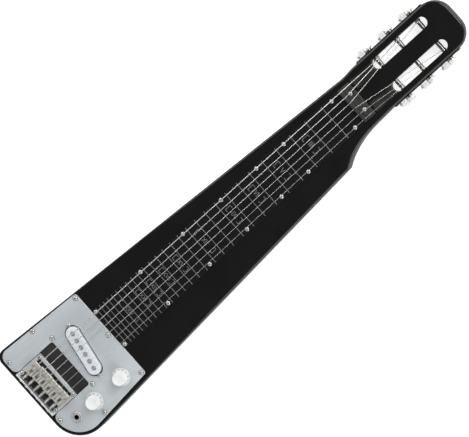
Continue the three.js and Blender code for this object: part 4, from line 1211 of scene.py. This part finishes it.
def make_bridge():
    low, high = node_box("bridge_plate")
    top, inner_x = PLATE_TOP_Z, low.x + PLATE_TOP_Z - PLATE_BOTTOM_Z
    corners = (*low.xz, high.x, low.z, high.x, top, inner_x, top, inner_x, high.z, low.x, high.z)
    side_view = rounded(list(zip(corners[::2], corners[1::2], BRIDGE_RADII)), EDGE_STEPS)
    form = side_sheet(side_view, low.y, high.y, BRIDGE_EDGE)
    plate = as_object("bridge_sheet", [(form, FLAT, 0)])
    cut(plate, bridge_bores())
    mark_edges(plate)
    place(plate, ["bridge"], ["bridge_plate"])


def make_saddle(n):
    body = f"saddle_{n}"
    form = side_sheet(rounded(SADDLE_VIEW, SHEET_STEPS), -SADDLE_HALF, SADDLE_HALF, SADDLE_EDGE)
    plate = as_object(f"saddle_plate_{n}", [(form, FLAT, 0)])
    slot = sheet([stadium(*SADDLE_SLOT)], *SADDLE_SLOT_Z)
    start, length = TAB_BORE
    bore = rod(TUNE_BORE, 0, length, SMALL_STEPS)
    cut(plate, [
        (slot, at(SADDLE_SLOT_X) @ turned(QUARTER, "Z"), 0), (bore, along_x(start, 0, TUNE_SCREW_Z), 0),
    ])
    shift = at(-SADDLE_SETBACKS[n - 1], string_y(n))
    plate.data.transform(shift)
    mark_edges(plate)
    # The saddles' front faces get painted shade in dark steel
    paint_faces(plate, 1, lambda face: face.normal.x > SADDLE_FRONT_SLOPE and face.center.x > SADDLE_FRONT_X)
    place(plate, ["saddle", "saddle_front_shade"], [body], body)
    leg = lathe(SADDLE_LEG, BORE_STEPS)
    legs = [(leg, shift @ at(SADDLE_LEG_X, side * SADDLE_LEG_Y), 0) for side in SIGNS]
    screws = as_object(f"height_screws_{n}", legs)
    # Painted shade inside each height screw's socket
    paint_faces(screws, 1, lambda face: SOCKET_SHADE_Z[0] < face.center.z < SOCKET_SHADE_Z[1])
    place(screws, ["set_screw", "painted_shade_black"], (), body)


def make_tuning_screw(n):
    name = f"intonation_screw_{n}"
    spot = (TUNE_HEAD_X, string_y(n), TUNE_SCREW_Z)
    parts = [
        (lathe(TUNE_CORE, SMALL_STEPS), along_x(*spot), 0),
        (screw_head(*TUNE_HEAD), at(*spot) @ turned(-QUARTER, "Y"), 0),
        (tube(helix(*TUNE_THREAD), *TUNE_THREAD_WIRE), at(0, *spot[1:]), 0),
    ]
    make(f"tuning_screw_{n}", parts, ["screw"], [name], name)


def make_spring(n):
    name = f"intonation_spring_{n}"
    low, high = node_box(name)
    start, end = low.x + SPRING_WIRE, high.x - SPRING_WIRE
    spot = (string_y(n), TUNE_SCREW_Z)
    coil = tube(helix(start, end, *SPRING_COIL), SPRING_WIRE, EDGE_STEPS)
    piece = as_object(f"spring_coil_{n}", [(coil, at(0, *spot), 0)])
    piece.data.transform(Matrix.Scale(MM, 4))
    piece.data.materials.append(PAINT["steel"])
    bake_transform(piece)
    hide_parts(name)


# Strings
def wrap_path(n, from_x, from_z):
    """The turns of a string round its roller."""
    side, x = roller_place(n)
    diameter = STRING_DIAMETERS[n - 1]
    radius = ROLLER_RADIUS + STRING_GAP + diameter / 2
    reach = hypot(from_x - x, from_z - TUNER_Z)
    start = atan2(from_z - TUNER_Z, from_x - x) - acos(radius / reach)
    last_y = WRAP_END_Y - diameter / 2
    first_y = last_y - WRAP_WIDTHS * (diameter + WRAP_SPACE)
    count = round(SCENE_WRAPS * ROUND_STEPS)
    points = []
    for step in range(count + 1):
        angle = start - TURN * step / ROUND_STEPS
        y = side * mix(first_y, last_y, step / count)
        points.append((x + radius * cos(angle), y, TUNER_Z + radius * sin(angle)))
    return points


def string_path(n):
    radius = STRING_DIAMETERS[n - 1] / 2
    behind, y = hole_spot(n)
    nut_y, nut_z = string_y(n, NUT_PITCH), NUT_TOP_Z + STRING_GAP + radius
    crown_x = -SADDLE_SETBACKS[n - 1]
    path = [(behind, y, z) for z in STRING_FOOT_Z]
    for angle in map(radians, STRING_BEND_DEGREES):
        ahead, drop = STRING_BEND * (1 - cos(angle)), STRING_BEND * (1 - sin(angle))
        path.append((behind + ahead, y, STRING_OVER_Z - drop))
    path.append((crown_x, mix(y, nut_y, crown_x / SCALE_LENGTH), SADDLE_CROWN_Z + STRING_GAP + radius))
    path += [(x, nut_y, nut_z) for x in NUT_XS]
    return path + wrap_path(n, NUT_XS[-1], nut_z)


def make_string(n):
    wire = tube(string_path(n), STRING_DIAMETERS[n - 1] / 2)
    parts = [(wire, FLAT, 0), (lathe(BALL, OVAL_STEPS), at(*hole_spot(n)), 1)]
    metal = "wire_wound" if n <= WOUND_STRINGS else "string_steel"
    make(f"string_wire_{n}", parts, [metal, "brass"], [f"string_{n}"])


# Pickup
def make_pickup():
    turn = pickup_matrix()
    pole_spots = [(0, string_y(n, POLE_PITCH)) for n in STRINGS]
    cap = sheet([stadium(*COVER), *(circle(*spot, POLE_HOLE) for spot in pole_spots)], *COVER_CAP_Z)
    wall = sheet([stadium(*COVER), stadium(*COVER_INSIDE)], *COVER_WALL_Z)
    make("pickup_shell", [(cap, turn, 0), (wall, turn, 0)], ["white"], ["pickup_cover"])
    base = sheet([rectangle(*COIL_BASE)], *COIL_BASE_Z)
    parts = [(base, turn, 0), (sheet([stadium(*WINDING)], *WINDING_Z), turn, 1)]
    for end in SIGNS:
        post = sheet([circle(0, end * PICKUP_SCREW_Y, POST_DIAMETER, OVAL_STEPS)], *POST_Z)
        parts.append((post, turn, 2))
    make("pickup_works", parts, ["fibre", "copper", "nickel"], ["pickup_coil"])
    poles = [(lathe(POLE, ROUND_STEPS), turn @ at(*spot), 0) for spot in pole_spots]
    make("pole_pieces", poles, ["pole"])


# Controls
def knob_profile():
    (start_radius, start_z), (end_radius, end_z) = KNOB_FOOT[-1], KNOB_SLOPE_END
    slope = []
    for share in (step / KNOB_SLOPE_STEPS for step in range(1, KNOB_SLOPE_STEPS + 1)):
        inward, rise = [share ** power for power in KNOB_SLOPE_POWERS]
        slope.append((mix(start_radius, end_radius, inward), mix(start_z, end_z, rise)))
    return [*KNOB_FOOT, *slope, *KNOB_CROWN]


def make_knobs():
    form = lathe(knob_profile(), 4 * KNOB_RIBS, KNOB_RIBS, KNOB_RIB_DEPTH, KNOB_RIB_Z)
    for name, x in KNOB_XS.items():
        spot = at(x, CONTROL_Y, PLATE_TOP_Z)
        parts = [(form, spot, 0)]
        for digit in DIGITS:
            lie = (
                spot @ turned(DIGIT_START[name] + digit * DIGIT_STEP, "Z") @ at(*DIGIT_PLACE)
                @ turned(DIGIT_TILT, "Y") @ turned(QUARTER, "Z")
            )
            parts.append((words(str(digit + 1), DIGIT_SIZE, DIGIT_HEIGHT), lie, 2))
        dial = as_object(f"{name}_dial", parts)
        # The skirt gets painted shade, a darker copy of the knob's white
        paint_faces(dial, 1, lambda face: face.material_index == 0 and face.center.z < KNOB_SKIRT_TOP_Z)
        place(dial, ["knob", "skirt_painted_shade", "dial_ink"], [f"{name}_knob"], f"{name}_control")


def make_jack():
    spot = at(JACK_X, CONTROL_Y, PLATE_TOP_Z)
    # The near-black sleeve in the bore is painted shade
    barrel = [(lathe(JACK_BARREL, FINE_STEPS), spot, 0), (lathe(JACK_BORE_SHADE, WIDE_STEPS), spot, 1)]
    make("jack_barrel", barrel, ["socket", "painted_shade_black"], ["jack_socket"])
    bore = circle(0, 0, JACK_NUT_BORE, WIDE_STEPS)
    nut = sheet([circle(0, 0, JACK_HEXAGON, 6), bore], *JACK_NUT_Z)
    washer = sheet([circle(0, 0, JACK_WASHER, FINE_STEPS), bore], *JACK_WASHER_Z)
    make("jack_hexagon", [(nut, spot, 0), (washer, spot, 0)], ["socket"], ["jack_nut"])


# Tuners
def gear_outline():
    points = []
    for step in range(GEAR_TEETH * EDGE_STEPS):
        share = step / EDGE_STEPS
        lift = min(max(GEAR_FLANK * (1 + cos(TURN * share)) / 2 - GEAR_FOOT, 0), 1)
        angle = TURN * share / GEAR_TEETH
        radius = mix(*GEAR_RADII, lift)
        points.append((radius * cos(angle), radius * sin(angle)))
    return points


def make_roller(n):
    name = f"string_roller_{n}"
    forms = (lathe(ROLLER, ROUND_STEPS), sheet([gear_outline()], *GEAR_Y), lathe(HUB, ROUND_STEPS))
    parts = [(form, across_y(*roller_place(n)), number) for number, form in enumerate(forms)]
    # The gear and hub are coloured near white, a painted reflection
    make(f"roller_gear_{n}", parts, ["roller", "gear_painted_reflection", "bracket_painted_reflection"], [name], name)


def worm_matrix(n, z=0):
    return at(*node_middle(f"worm_shaft_{n}")[:2], z)


def make_worm(n):
    thread = [(across, out, z) for z, across, out in helix(*WORM_THREAD)]
    forms = (lathe(WORM, ROUND_STEPS), tube(thread, *WORM_THREAD_WIRE))
    parts = [(form, worm_matrix(n), 0) for form in forms]
    # The worm is coloured near white, a painted reflection
    make(f"worm_{n}", parts, ["bracket_painted_reflection"], [f"worm_shaft_{n}"], f"tuner_button_{n}")


def button_profile():
    """Radius and height, from the round foot to the neck."""
    points = []
    for share in (step / BUTTON_RINGS for step in range(1, BUTTON_RINGS)):
        width = sin(pi * share ** BUTTON_POWERS[0]) ** BUTTON_POWERS[1]
        neck = max(0, share - BUTTON_NECK_START) / (1 - BUTTON_NECK_START)
        radius = mix(width, BUTTON_NECK_WIDTH, neck ** BUTTON_NECK_POWER) * BUTTON_RADIUS
        points.append((radius, -BUTTON_HEIGHT * (1 - BUTTON_FOOT_SHARE * share)))
    return points


def make_button(n):
    name = f"tuner_button_{n}"
    spot = worm_matrix(n, node_box(name)[1].z)
    turn = spot @ turned(BUTTON_LAST_TURN if n == STRINGS[-1] else 0, "Z")
    flat = turn @ Matrix.Diagonal((1, BUTTON_FLATNESS, 1, 1))
    parts = [
        (lathe(button_profile(), BUTTON_STEPS), flat, 0),
        (lathe(BUTTON_NECK, ROUND_STEPS), turn, 0), (lathe(BUTTON_BUSH, OVAL_STEPS), turn, 1),
    ]
    make(f"button_{n}", parts, ["pearl", "nickel"], [name], name)


def make_tuner_plates():
    head = screw_head(*TUNER_SCREW)
    for name, side in SIDES.items():
        node = f"tuner_plate_{name}"
        inner = min(abs(corner.y) for corner in node_box(node))
        parts = [(bevelled_copy(node, TUNER_EDGE), FLAT, 0)]
        parts += [(head, across_y(side, x) @ at(0, 0, inner + TUNER_SHEET), 1) for x in TUNER_SCREW_XS]
        strip = as_object(f"tuner_strip_{name}", parts)
        bracket_y = inner + BRACKET_RISE
        # The brackets are coloured near white, a painted reflection
        paint_faces(strip, 2, lambda face: abs(face.center.y) > bracket_y and not face.material_index)
        place(strip, ["strip", "screw", "bracket_painted_reflection"], [node])


def dress_hidden():
    """The pots and shafts keep their CAD forms, with a finish of their own."""
    for node in ("volume_pot", "tone_pot", "volume_shaft", "tone_shaft"):
        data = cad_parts[node].data
        data.materials.clear()
        data.materials.append(PAINT["nickel"])


def main():
    for build in (
        make_materials, make_camera, make_world, make_lamps, make_floor, make_body, make_ferrules,
        make_control_plate, make_window_panel, make_board, make_fret_lines, make_markers, make_screws,
        make_nut, make_bridge, make_pickup, make_knobs, make_jack, make_tuner_plates,
    ):
        build()
    for n in STRINGS:
        for build in (
            make_saddle, make_tuning_screw, make_spring, make_string, make_roller, make_worm, make_button,
        ):
            build(n)
    dress_hidden()
    bpy.context.scene.view_settings.view_transform = "Standard"


main()
bpy.context.view_layer.update()
